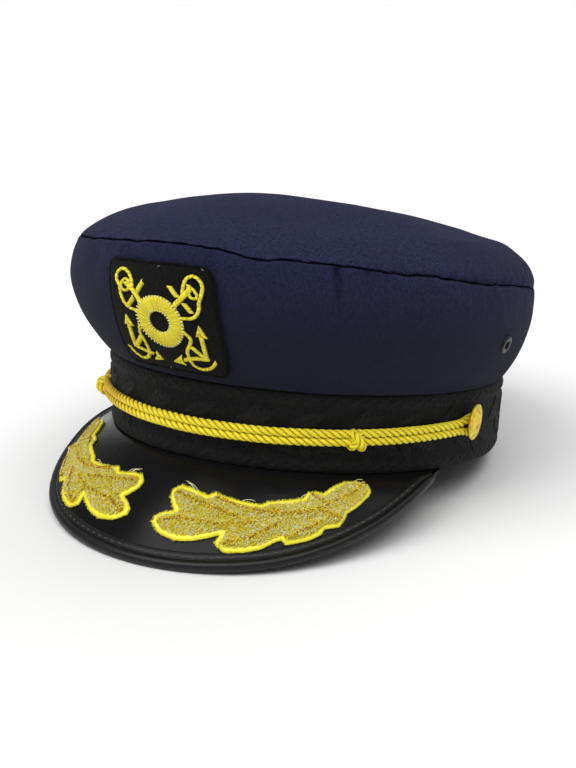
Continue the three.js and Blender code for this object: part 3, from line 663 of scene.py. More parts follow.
def black_felt():
    made = Finish("black_felt", (0.006, 0.006, 0.006), 0.95,
                  Sheen_Weight=0.04, Sheen_Roughness=0.6, Specular_IOR_Level=0.1)
    place = made.place()
    fibres = made.noise(place, 1500.0, 4.0, 0.7)
    clumps = made.noise(place, 260.0, 3.0)
    dark, light = colours((0.0014, 0.0014, 0.0014), (0.0062, 0.006, 0.0056))
    made.set(
        Base_Color=made.mix(made.range(fibres, 0.3, 0.75), dark, light),
        Normal=made.bump(fibres, 0.0004, made.bump(clumps, 0.0005)),
    )
    return made.material


def stitch_thread(name, colour, roughness=0.5, shine=0.5):
    made = Finish(name, colour, roughness, Specular_IOR_Level=shine)
    strands = made.wave(made.scaled(made.map(), (1, 1, 1), 0.9), 0.0004)
    made.set(Normal=made.bump(strands, 0.0001))
    return made.material


NAVY, NAVY_SIDE = navy_cloth("navy_cloth"), navy_cloth("navy_side_cloth", True)
BRAID, FELT = black_braid(), black_felt()
VINYL, BINDING = black_vinyl("black_vinyl", 0.22, 0.11), black_vinyl("black_binding", 0.42, 0.3)
THREAD, BULLION, CORD_GOLD = yellow_thread(), gold_bullion(), gold_cord()
GILT, DARK_METAL = gilt_metal(), dark_metal()
STITCH = stitch_thread("stitch_thread", (0.06, 0.06, 0.063))
TACK = stitch_thread("tack_thread", (0.16, 0.15, 0.12))
# sewing thread, near black and without shine, partly painted shade of the seam's groove
SEAM_DARK = stitch_thread("seam_dark", (0.003, 0.003, 0.007), 0.9, 0.0)


# Camera, floor and light. The angles, the distance and the place of the cap's middle in the
# picture come from a camera fitted to the photograph's outlines.
PICTURE = (576, 768)
MIDDLE_AT = (307.7, 305.0)
AZIMUTH, ELEVATION, DISTANCE, PIXELS_PER_MM = 32.87, 14.75, 619.65, 2.1238
SENSOR = 36.0
TARGET = Vector((0, SHIFT, 75)) / 1000


def aimed(name, data, azimuth, elevation, distance):
    """A camera or light that looks at the cap from an azimuth, an elevation and metres away."""
    turn, tilt = math.radians(azimuth), math.radians(elevation)
    back = Vector((math.sin(turn) * math.cos(tilt), -math.cos(turn) * math.cos(tilt), math.sin(tilt)))
    made = bpy.data.objects.new(name, data)
    made.location = TARGET + back * distance
    made.rotation_euler = back.to_track_quat("Z", "Y").to_euler()
    bpy.context.scene.collection.objects.link(made)
    return made


def place_camera():
    camera = bpy.data.cameras.new("camera")
    camera.sensor_width = SENSOR
    camera.lens = PIXELS_PER_MM * DISTANCE * SENSOR / max(PICTURE)
    camera.shift_x = (PICTURE[0] / 2 - MIDDLE_AT[0]) / max(PICTURE)
    camera.shift_y = (MIDDLE_AT[1] - PICTURE[1] / 2) / max(PICTURE)
    camera.clip_start, camera.clip_end = 0.01, 50
    bpy.context.scene.camera = aimed("camera", camera, AZIMUTH, ELEVATION, DISTANCE / 1000)


def place_floor():
    half = 9.0  # metres
    corners = [(-half, -half, 0), (half, -half, 0), (half, half, 0), (-half, half, 0)]
    mesh = bpy.data.meshes.new("floor")
    mesh.from_pydata(corners, [], [(0, 1, 2, 3)])
    floor = bpy.data.objects.new("floor", mesh)
    made = Finish("floor", (0.86, 0.86, 0.86), 0.9)
    mottle = made.noise(made.place(), 3.0)
    made.set(Base_Color=made.mix(mottle, *colours((0.85, 0.85, 0.85), (0.87, 0.87, 0.87))))
    mesh.materials.append(made.material)
    bpy.context.scene.collection.objects.link(floor)


def place_light(name, azimuth, elevation, distance, size, power):
    """A round soft box, in metres and watts."""
    light = bpy.data.lights.new(name, "AREA")
    light.shape, light.size, light.energy = "DISK", size, power
    aimed(name, light, azimuth, elevation, distance)


def place_sun(name, azimuth, elevation, spread, strength):
    """An even soft light over cap and floor, spread over an angle in degrees."""
    light = bpy.data.lights.new(name, "SUN")
    light.angle, light.energy = math.radians(spread), strength
    aimed(name, light, azimuth, elevation, 1.0)


def place_world(strength):
    world = bpy.data.worlds.new("studio")
    world.use_nodes = True
    sky = world.node_tree.nodes["Background"]
    sky.inputs["Color"].default_value = (1, 1, 1, 1)
    sky.inputs["Strength"].default_value = strength
    bpy.context.scene.world = world


place_camera()
place_floor()
place_world(0.24)
place_sun("key", -25, 54, 42, 1.68)
place_sun("front right", 50, 62, 45, 1.15)
place_sun("behind", 165, 58, 45, 0.75)
place_light("left", -130, 16, 1.4, 1.0, 1.3)
place_light("right", 112, 25, 1.3, 0.7, 0.25)
bpy.context.scene.view_settings.view_transform = "Standard"


# Crown
CROWN_COLUMNS, SIDE_ROWS, TOP_ROWS, INNER_ROWS = 700, 58, 54, 8
SIDE_MAP_HEIGHT = 60.0  # millimetres of the side's map from the band to the seam
GROOVE_DEPTH, GROOVE_FILLED, GROOVE_WIDTH = 0.95, 0.4, 0.75
PUCKER_HEIGHT, PUCKER_REACH = 0.6, 7.0
THREAD_RADIUS, TAPE_RADIUS, TAPE_DEPTH = 0.28, 0.6, 1.35
SHIFT_REACH, JITTER_REACH = 14.0, 5.0  # how far onto the top the seam's shift and wandering run
crown_bounds = np.linspace(-180, 180, CROWN_COLUMNS + 1)
crown_angles = crown_bounds[:-1]
seam_run = running_length(seam_point(crown_bounds))


def seam_shift(angle):
    return read_table(SEAM_SHIFT, 1, angle)


def seam_jitter(run):
    """How far the seam line wanders up and down, in millimetres."""
    return sum(size * flat_noise(run, 0.0, step, seed) for size, step, seed in (
        (0.5, 19.0, 8.1), (0.5, 7.0, 3.3), (0.28, 3.0, 5.9)))


def groove_depth(angle):
    """Depth of the groove that the seam lies in, which the stretched cloth of the sides fills."""
    return GROOVE_DEPTH - GROOVE_FILLED * smooth(72, 94, np.abs(angle))


def seam_relief(angle, run, away, seed):
    """Puckers beside the seam, and its groove; away is the distance from it."""
    puckers = flat_noise(run / 5.5, away / 14.0, 1.0, seed)
    puckers = puckers + 0.5 * flat_noise(run / 2.6, away / 7.0, 1.0, seed + 5)
    groove = groove_depth(angle) * np.exp(-((away / GROOVE_WIDTH) ** 2))
    return PUCKER_HEIGHT * puckers * np.exp(-away / PUCKER_REACH) - groove


def pinch_depth(angle, share):
    total = 0.0
    for at, spread, depth, run in PINCHES:
        down = smooth(1 - run, 1 - run * 0.35, share) * smooth(1.0, 0.97, share)
        total = total + depth * np.exp(-((wrap_angle(angle - at) / spread) ** 2)) * down
    return total


def crown_side():
    steps = np.linspace(0, 1, SIDE_ROWS + 1)
    shares = lerp(steps, 0.5 - 0.5 * np.cos(math.pi * steps), 0.8)  # closer rows at both edges
    angle, share = crossed(crown_angles, shares)
    run = np.broadcast_to(seam_run[:-1, None], share.shape)
    tall = np.linalg.norm(seam_point(angle) - band_point(angle, BAND_HEIGHT), axis=-1)
    base = side_point(angle, share)
    soft = noise(base, 34.0, 1.7) + noise(base, 13.0, 4.2) * 0.22
    relief = soft * np.sin(math.pi * share) ** 0.7 + seam_relief(angle, run, (1 - share) * tall, 2.0)
    outer = side_point(angle, share, relief - pinch_depth(angle, share))
    outer[..., 2] += seam_jitter(run) * share**12 - GAP / 2 * (share == 1) + seam_shift(angle) * share**4
    inner_shares = np.linspace(1, 0, INNER_ROWS + 1)
    angle, share = crossed(crown_angles, inner_shares)
    inner = side_point(angle, share, -CLOTH)
    inner[..., 2] += seam_shift(angle) * share**4 - GAP / 2 * (share == 1)
    points = np.concatenate([outer, inner], 1)
    quads, spots = grid_faces(*points.shape[:2], True, True)
    down = np.concatenate([shares, 2 - inner_shares]) * SIDE_MAP_HEIGHT
    down = np.append(down, down[-1])
    maps = np.stack([seam_run[spots[..., 0]], down[spots[..., 1]]], -1) / 1000
    made = mesh_object("crown_side_cloth", points.reshape(-1, 3), quads, maps, NAVY_SIDE)
    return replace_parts(made, "crown_side")


def seam_shade_thread():
    """The dark line of sewing between side and top, near black to be also the groove's painted shade, and the
    tape behind it.
    """
    angles = np.linspace(-180, 180, 1441)[:-1]
    run = np.interp(angles, crown_bounds, seam_run)
    line = seam_point(angles)
    line[:, 2] += seam_jitter(run) + seam_shift(angles)
    outward = crown_outward(angles)
    thread = line - outward * (groove_depth(angles) / 2)[:, None]
    tape = line - outward * TAPE_DEPTH
    batch = Batch()
    batch.tubes(thread[None], outward[None], THREAD_RADIUS, 6, closed=True)
    batch.tubes(tape[None, ::2], outward[None, ::2], TAPE_RADIUS, 6, closed=True)
    return batch.made("seam_shade_thread", SEAM_DARK, "navy_cloth")


def pole_quads(ring, pole):
    """Quads that close a ring of points at a pole, two of its steps in each."""
    after = np.roll(ring, -1)
    return np.stack([ring[::2], after[::2], np.roll(after, -1)[::2], np.full(len(ring) // 2, pole)], -1)


def crown_top():
    steps = np.linspace(0, 1, TOP_ROWS + 1)[1:]
    shares = np.sin(steps * math.pi / 2) ** 0.9  # closer rows at the seam
    angle, share = crossed(crown_angles, shares)
    run = np.broadcast_to(seam_run[:-1, None], share.shape)
    away = (1 - share) * SEAM_LENGTH / 2
    outer = top_point(angle, share)
    soft = noise(outer, 42.0, 6.1) * 1.1 + noise(outer, 15.0, 9.4) * 0.22
    ridge = np.exp(-(((share - 0.8) / 0.045) ** 2)) * smooth(58, 82, angle) * smooth(150, 120, angle)
    relief = seam_relief(angle, run, away, 12.0) * share**4
    outer[..., 2] += soft * (1 - share**6) + ridge
    outer += crown_outward(angle) * relief[..., None]
    outer[..., 2] += seam_jitter(run) * np.exp(-away / JITTER_REACH) + 0.5 * relief * (away > 0)
    outer[..., 2] += seam_shift(crown_angles)[:, None] * np.exp(-away / SHIFT_REACH)
    angle, share = crossed(crown_angles, np.linspace(1, shares[0], INNER_ROWS + 1))
    inner = top_point(angle, share, CLOTH)
    inner[..., 2] += seam_shift(angle) * np.exp(-(1 - share) * SEAM_LENGTH / 2 / SHIFT_REACH)
    points = np.concatenate([outer, inner], 1)
    columns, rows = points.shape[:2]
    quads, spots = grid_faces(columns, rows, True, True)
    quads = quads[spots[:, 0, 1] != rows - 1][:, ::-1]
    first = np.arange(columns) * rows
    outer_pole = pole_quads(first, columns * rows)
    inner_pole = pole_quads(first + rows - 1, columns * rows + 1)[:, [2, 1, 0, 3]]
    quads = np.concatenate([quads, outer_pole, inner_pole])
    flat = np.concatenate([points.reshape(-1, 3), [points[:, 0].mean(0), points[:, -1].mean(0)]])
    made = mesh_object("crown_top_cloth", flat, quads, flat[quads][..., :2] / 1000, NAVY)
    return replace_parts(made, "crown_top")


# Band: woven braid with a running wreath of oak leaves in relief
BAND_COLUMNS, BAND_ROWS = 1000, 46
REPEAT = 44.0  # millimetres along the band that one pair of leaves takes, before it is evened out
RELIEF, EDGE_TUCK = 0.8, 0.35
# Leaves of the braid: start along and up, turn in degrees, length, width, lobes
BRAID_LEAVES = (
    (2.0, 17.0, 24.0, 19.0, 9.5, 3.5), (13.0, 16.5, -30.0, 18.0, 9.0, 3.5),
    (24.0, 17.0, 28.0, 18.0, 9.0, 3.5), (33.0, 15.5, -22.0, 16.0, 8.0, 3.0),
    (8.0, 19.0, 62.0, 10.0, 6.0, 2.0), (30.0, 13.0, -66.0, 9.0, 6.0, 2.0),
)


def leaf_relief(x, y, length, width, lobes):
    """Height of an oak leaf lying along x from 0 to length, between 0 and 1, with its veins."""
    share = np.clip(x / length, 0, 1)
    shape = np.sin(math.pi * share**0.85) ** 0.75 * (1 - 0.3 * np.cos(math.tau * lobes * share) ** 2)
    half = width / 2 * np.maximum(shape, 1e-3)
    inside = smooth(1.0, 0.72, np.abs(y) / half) * (x > 0) * (x < length)
    middle = np.exp(-((y / 0.45) ** 2))
    veins = 0.5 + 0.5 * np.cos(math.tau * (x - 0.8 * np.abs(y)) / 2.1)
    return inside * (1 - 0.75 * middle - 0.35 * veins * smooth(0.3, 1.0, np.abs(y)))


def braid_relief(run, height, around):
    """Relief of the braid at a run along the band and a height on it, between 0 and 1."""
    repeats = round(around / REPEAT)
    repeat = around / repeats
    place = run % repeat
    total = np.zeros(np.broadcast(run, height).shape)
    for along, up, turn, length, width, lobes in BRAID_LEAVES:
        cosine, sine = math.cos(math.radians(turn)), math.sin(math.radians(turn))
        for shift in (-repeat, 0, repeat):
            x, y = place - along - shift, height - up
            leaf = leaf_relief(x * cosine + y * sine, y * cosine - x * sine, length, width, lobes)
            total = np.maximum(total, leaf)
    stem = 16.8 + 1.6 * np.sin(math.tau * place / repeat)
    total = np.maximum(total, 0.8 * np.exp(-(((height - stem) / 0.7) ** 2)))
    for edge in (3.0, BAND_HEIGHT - 3.4):
        wave = edge + 0.9 * np.sin(math.tau * run / (around / round(around / 6.2)))
        total = np.maximum(total, 0.85 * np.exp(-(((height - wave) / 0.75) ** 2)))
        total = np.maximum(total, 0.3 * smooth(2.6, 1.9, np.abs(height - edge)))
    return total


def hat_band():
    angles = np.linspace(-180, 180, BAND_COLUMNS + 1)
    run = running_length(band_point(angles, BAND_HEIGHT / 2))
    heights = np.linspace(0, BAND_HEIGHT - GAP, BAND_ROWS + 1)
    angle, height = crossed(angles[:-1], heights)
    along = np.broadcast_to(run[:-1, None], height.shape)
    relief = braid_relief(along, height, run[-1])
    edge = smooth(0, 0.8, height) * smooth(0, 0.8, BAND_HEIGHT - GAP - height)
    soft = flat_noise(along / 16, height / 16, 1.0, 3.0) * 0.12
    outer = band_point(angle, height, (relief * RELIEF + soft) * edge - EDGE_TUCK * (1 - edge))
    inner_heights = np.array([BAND_HEIGHT - GAP, BAND_HEIGHT * 0.6, BAND_HEIGHT * 0.3, 0.0])
    angle, height = crossed(angles[:-1], inner_heights)
    points = np.concatenate([outer, band_point(angle, height, -BAND_WALL)], 1)
    tint = np.concatenate([relief, np.zeros_like(height)], 1)
    down = np.concatenate([heights, 2 * BAND_HEIGHT - inner_heights]) / 1000
    rest_on_ground(points)
    batch = Batch()
    batch.grid(points, tint, run[:-1] / 1000, down, (True, True))
    return batch.made("woven_band", BRAID, "black_braid", "hat_band")


def rest_on_ground(points):
    """Presses up to the ground what reaches below it, at the band's rear and under the rim."""
    y, z = points[..., 1], points[..., 2]
    below = z * math.cos(PITCH) - y * math.sin(PITCH) + LIFT
    points[..., 2] += np.maximum(0, -below) / math.cos(PITCH)


# Peak with its bound and stitched edge
PEAK_COLUMNS, PEAK_ROWS = 260, 36
BEAD_WIDTH, BEAD_HEIGHT, FLANGE_HEIGHT = 4.5, 1.15, 0.36
STITCH_INSET, STITCH_PITCH, STITCH_LENGTH, STITCH_RADIUS, STITCH_ARCH = 5.6, 3.9, 1.9, 0.27, 0.28
STITCHED_SHARE = 0.86  # of the peak's half angle
PEAK_WAVE, RIM_RIPPLE = 0.25, 0.07


def peak_shell():
    angles = np.linspace(-PEAK_HALF_ANGLE, PEAK_HALF_ANGLE, PEAK_COLUMNS)
    angle, share = crossed(angles, np.linspace(0, 1, PEAK_ROWS))
    share = share * peak_edge(angle)
    upper = peak_point(angle, share)
    up = peak_frame(angle, share)[1]
    wobble = noise(upper, 30.0, 2.2) * PEAK_WAVE * np.sin(math.pi * share) * smooth(0.8, 0.6, share)
    lower = upper - up * PEAK_WALL
    upper = upper + up * wobble[..., None]
    under = band_point(angle[:, :1], 0.0, -BAND_WALL)
    under[..., 2] = -GAP
    points = np.concatenate([under, upper, lower[:, ::-1], under - [0, 0, PEAK_WALL]], 1)
    batch = Batch()
    batch.grid(points[::-1], wrap=(False, True), caps=True)
    return batch.made("peak_sheet", VINYL, "black_vinyl", "peak")


def rim_place(angle, inset, height):
    """A point of the binding: inset from the peak's outline, height over its upper face."""
    edge = peak_edge(angle)
    outward, up = peak_frame(angle, edge)
    reach = RIM_LIP + GAP
    return peak_point(angle, edge) + outward * (reach - inset)[..., None] + up * height[..., None]


def peak_rim():
    limit = PEAK_HALF_ANGLE * RIM_END
    angles = np.linspace(-limit, limit, PEAK_COLUMNS)
    room = np.minimum((peak_size(angles)[0] - RIM_LIP - GAP) * 0.75 + RIM_LIP, RIM_WIDTH + RIM_LIP)
    inner, below = RIM_WIDTH + RIM_LIP, -PEAK_WALL
    middle = (below - GAP) / 2
    flange = [(inner, -0.15), (inner - 0.15, 0.0), (inner - 0.6, 0.12), (6.7, 0.24), (6.2, 0.3)]
    flange += [(5.7, FLANGE_HEIGHT), (5.2, FLANGE_HEIGHT), (BEAD_WIDTH + 0.1, 0.12)]
    bead = [(BEAD_WIDTH / 2 * (1 + math.cos(turn)), middle + (BEAD_HEIGHT - middle) * math.sin(turn))
            for turn in np.radians(np.linspace(28, 332, 26))]
    under = [(inner, below - GAP * 1.2), (inner, below - GAP * 0.6)]
    under += [(2.4, below - GAP * 0.6), (2.4, GAP * 0.4)]
    profile = np.array(flange + bead + under)
    angle = angles[:, None] + 0 * profile[:, 0]
    narrow = (room / inner)[:, None]
    points = rim_place(angle, profile[:, 0] * narrow, profile[:, 1] + 0 * angle)
    ripple = noise(points, 11.0, 5.1) * RIM_RIPPLE * (profile[:, 1] > FLANGE_HEIGHT)
    points += peak_frame(angle, peak_edge(angle))[1] * ripple[..., None]
    rest_on_ground(points)
    batch = Batch()
    batch.grid(points[::-1], wrap=(False, True), caps=True)
    return batch.made("bound_edge", BINDING, "black_vinyl", "peak_rim")


def rim_stitches():
    limit = PEAK_HALF_ANGLE * STITCHED_SHARE
    fine = np.linspace(-limit, limit, 800)
    run = running_length(rim_place(fine, np.full(800, STITCH_INSET), np.full(800, FLANGE_HEIGHT)))
    starts = np.arange(STITCH_PITCH, run[-1] - STITCH_PITCH, STITCH_PITCH)
    steps = np.linspace(0, 1, 6)
    angle = np.interp(starts[:, None] + STITCH_LENGTH * steps, run, fine)
    height = FLANGE_HEIGHT + STITCH_ARCH * np.sin(math.pi * steps) ** 0.5 - 0.1
    paths = rim_place(angle, np.full(angle.shape, STITCH_INSET), height + 0 * angle)
    up = peak_frame(angle, peak_edge(angle))[1]
    batch = Batch()
    batch.tubes(paths, up, STITCH_RADIUS, 8, point=0.5, tint=seeded(len(starts), 4))
    return batch.made("rim_stitches", STITCH, "black_vinyl")


# Chin cord: three plies twisted to the left, laid double round the buttons' shanks
BUTTON_NECK = 1.6  # radius of the part that the cord turns round
PLY_RADIUS, PLY_OUT, LAY, TIGHT_LAY = 0.88, 0.94, 9.6, 7.2
CORD_STEP, CORD_SWAY = 0.55, 0.14
TIGHT_FROM_TO, SHADED_FROM_TO = (-18, -38), (-4, -36)  # degrees over which the cord gets tighter, and over which it is darkened as painted shade
KNOT_LAY, KNOT_SQUARENESS = 8.5, 2.4
# A knot's two turns of cord: middle and lean along the band and lift, in millimetres, and thickness
KNOT_TURNS = ((-0.3, 1.9, 0.0, 0.9025), (0.3, -1.9, 1.0, 1.026))
half_space = CORD_DIAMETER / 2 - 0.05
cord_outset = GAP + CORD_DIAMETER / 2


def cord_height(angle):
    return CORD_HEIGHT - CORD_SAG * np.cos(rad(angle))


def degrees_for(length, angle):
    """Degrees that a length takes along the band at an angle."""
    turn = rad(angle)
    radius = np.hypot(BAND_WIDTH / 2 * np.cos(turn), BAND_LENGTH / 2 * np.sin(turn))
    return length / (math.radians(1) * radius)


def cord_route():
    """Angle and height of the endless strand: over the front, round a button, back, round the other."""
    turn_radius = BUTTON_NECK + CORD_DIAMETER / 2
    opening = degrees_for(BUTTON_DIAMETER * 0.6, BUTTON_ANGLE)
    angle = np.linspace(-BUTTON_ANGLE, BUTTON_ANGLE, 400)
    space = lerp(half_space, turn_radius, smooth(BUTTON_ANGLE - opening, BUTTON_ANGLE, np.abs(angle)))
    bends = np.radians(np.linspace(80, -80, 17))
    parts = []
    for side in (1, -1):
        parts.append((angle * side, cord_height(angle) + side * space))
        bend_angle = side * (BUTTON_ANGLE + degrees_for(turn_radius * np.cos(bends), BUTTON_ANGLE))
        parts.append((bend_angle, cord_height(BUTTON_ANGLE) + side * turn_radius * np.sin(bends)))
    return [np.concatenate(values) for values in zip(*parts)]


def twist(batch, line, outward, turns, closed, radius=1.0, seed=1, shade=0.0):
    """Three plies twisted round a line; turns is the twist in whole turns up to each point."""
    along = tangent(line, closed)
    up = unit(np.cross(outward, along))
    out = np.cross(along, up)
    for ply in range(3):
        turn = math.tau * (turns + ply / 3)
        side = np.cos(turn)[:, None] * up + np.sin(turn)[:, None] * out
        path = line + side * PLY_OUT * radius
        tint = (seeded(1, seed + ply, 0.72, 0.9) + shade)[None]
        batch.tubes(path[None], side[None], PLY_RADIUS * radius, 10, closed=closed, tint=tint, hollow=1.4)


def chin_cord():
    angle, height = cord_route()
    route, run = even_steps(band_point(angle, height, cord_outset), CORD_STEP, True)
    flat = route * [1, 1, 0] + [0, BAND_FORWARD / 2, 0]
    at = np.degrees(np.arctan2(flat[:, 0], -flat[:, 1]))
    tight = smooth(*TIGHT_FROM_TO, at) * (route[:, 2] > cord_height(at))
    turns = np.cumsum(CORD_STEP / lerp(LAY, TIGHT_LAY, tight))
    turns += 0.09 * flat_noise(run, 0.0, 17.0, 2.9) * np.sin(math.pi * run / run[-1])
    turns *= round(turns[-1]) / turns[-1]
    sway = noise(route, 14.0, 7.7) * CORD_SWAY
    route[:, 2] += sway * smooth(BUTTON_ANGLE - 4, BUTTON_ANGLE - 12, np.abs(at))
    # painted shade darkens the cord between those angles; the noise is random tone
    shade = 0.1 * noise(route, 9.0, 3.8) - 0.5 * smooth(*SHADED_FROM_TO, at)
    batch = Batch()
    twist(batch, route, unit(flat), turns, True, shade=shade)
    return batch.made("twisted_cord", CORD_GOLD, "gold_cord", "chin_cord")


def cord_knot(name, side):
    """Two turns of cord that cross in front, round both strands."""
    batch = Batch()
    half_height = half_space + CORD_DIAMETER / 2 - 0.55
    top = cord_outset + CORD_DIAMETER / 2 + 0.9
    for middle, lean, lift, thick in KNOT_TURNS:
        bend = np.linspace(-8, 188, 60)
        across, out = np.cos(np.radians(bend)), np.sin(np.radians(bend))
        size = (np.abs(across) ** KNOT_SQUARENESS + np.abs(out) ** KNOT_SQUARENESS) ** (-1 / KNOT_SQUARENESS)
        place = middle + lean * across
        angle = side * KNOT_ANGLE + degrees_for(place, KNOT_ANGLE)
        height = cord_height(side * KNOT_ANGLE) - 1.0 + half_height * across * size
        line = band_point(angle, height, np.maximum((top + lift) * out * size, 0.6))
        line, run = even_steps(line, 0.45, False)
        centre = band_point(side * KNOT_ANGLE, cord_height(side * KNOT_ANGLE), cord_outset * 0.5)
        twist(batch, line, unit(line - centre), run / KNOT_LAY, False, thick, seed=30)
    return batch.made(f"{name}_knot", CORD_GOLD, "gold_cord", f"cord_{name}")


# Badge: felt square, and an embroidered life ring on two crossed anchors
front_path = side_point(np.zeros(41), np.linspace(0, 1, 41))
front_length = running_length(front_path)[-1]
front_radius = (BAND_WIDTH + SEAM_WIDTH) / 4 + PUFF_MIDDLE + PUFF_CHANGE * 3 / 4


def badge_point(across, up, height):
    angle = np.degrees((BADGE_ACROSS + across) / front_radius)
    return side_point(angle, BADGE_SHARE + up / front_length, GAP + height)


def badge_outward(across, up):
    step = 0.5
    along = badge_point(across + step, up, 0.0) - badge_point(across - step, up, 0.0)
    rise = badge_point(across, up + step, 0.0) - badge_point(across, up - step, 0.0)
    return unit(np.cross(along, rise))


def badge_tubes(batch, spot, height, radius, sides, **looks):
    """Tubes over the badge, along paths in millimetres from its middle."""
    paths = badge_point(spot[..., 0], spot[..., 1], height)
    batch.tubes(paths, badge_outward(spot[..., 0], spot[..., 1]), radius, sides, **{"point": 0.5, **looks})


# Left and right edges of the felt by height, in millimetres from the badge's middle
FELT_EDGES = (
    (-26.6, -28.0, 27.2), (-20.0, -26.4, 28.8), (-10.0, -23.0, 29.2),
    (2.0, -21.3, 28.2), (17.0, -22.0, 27.0), (25.2, -23.0, 25.2),
)
FELT_CORNER, FELT_RAGGED, FELT_GRID = 4.6, 0.035, (96, 88)
HAIRS, EDGE_HAIRS, HAIR_RADIUS = 3200, 2600, 0.06
# Threads that tack the felt to the crown: across, up, lean in radians
TACKS, TACK_RADIUS = ((3.9, 23.6, 0.4), (22.3, 24.2, -0.5), (-0.9, -25.4, 0.9)), 0.2


def felt_spot(x, y):
    """A point of the felt square, whose corners are at x and y of -1 and 1."""
    low, high = FELT_EDGES[0][0], FELT_EDGES[-1][0]
    up = lerp(low, high, (y + 1) / 2)
    left, right = read_table(FELT_EDGES, 1, up), read_table(FELT_EDGES, 2, up)
    cut = np.maximum(0, FELT_CORNER - np.minimum(up - low, high - up))
    trim = FELT_CORNER - np.sqrt(np.maximum(FELT_CORNER**2 - cut**2, 0))
    return lerp(left + trim, right - trim, (x + 1) / 2), up


def badge_patch():
    x, y = crossed(np.linspace(-1, 1, FELT_GRID[0]), np.linspace(-1, 1, FELT_GRID[1]))
    across, up = felt_spot(x, y)
    ragged = flat_noise(across, up, 2.4, 1.5) * 0.7 + flat_noise(across, up, 0.9, 7.5) * 0.3
    stretch = 1 + np.maximum(np.abs(x), np.abs(y)) ** 8 * ragged * FELT_RAGGED
    across, up = across * stretch, up * stretch
    edge = smooth(1.0, 0.93, np.abs(x)) * smooth(1.0, 0.93, np.abs(y))
    pile = flat_noise(across, up, 1.6, 3.1) * 0.16 + flat_noise(across, up, 6.0, 6.6) * 0.15
    top = badge_point(across, up, BADGE_THICK * lerp(0.3, 1.0, edge) + pile * edge)
    batch = Batch()
    batch.grid(np.concatenate([top, badge_point(across, up, 0.0)[:, ::-1]], 1), wrap=(False, True), caps=True)
    felt_hairs(batch)
    return batch.made("badge_felt", FELT, "black_felt", "badge_patch")


def felt_hairs(batch):
    """Loose hairs, most of them leaning out over the felt's edge."""
    place = seeded((HAIRS, 2), 11, -1, 1)
    on_edge = np.arange(HAIRS) < EDGE_HAIRS
    side = seeded(HAIRS, 12) < 0.5
    sign = np.where(seeded(HAIRS, 13) < 0.5, -1.0, 1.0)
    place[on_edge & side, 0] = sign[on_edge & side] * 0.975
    place[on_edge & ~side, 1] = sign[on_edge & ~side] * 0.975
    start = np.stack(felt_spot(place[:, 0], place[:, 1]), -1)
    lean = seeded((HAIRS, 2), 14, -1, 1) + np.where(on_edge[:, None], place * 0.8, 0)
    steps = np.linspace(0, 1, 4)
    length = seeded(HAIRS, 15, 0.6, 2.0)[:, None]
    spot = start[:, None] + unit(lean)[:, None] * (length * steps)[..., None]
    rise = 0.5 * seeded(HAIRS, 16)[:, None] * steps * np.where(on_edge, 0.6, 1.6)[:, None]
    badge_tubes(batch, spot, BADGE_THICK * 0.7 + rise, HAIR_RADIUS, 4, tint=0.6)


def tack_stitches():
    batch = Batch()
    for at, (across, up, lean) in enumerate(TACKS):
        line = np.array([across, up]) + np.linspace(-0.7, 0.7, 5)[:, None] * [math.cos(lean), math.sin(lean)]
        height = BADGE_THICK + 0.15 + 0.25 * np.cos(np.linspace(-1.3, 1.3, 5))
        badge_tubes(batch, line[None], height, TACK_RADIUS, 6, tint=seeded(1, at)[0])
    return batch.made("tack_stitches", TACK, "black_felt")


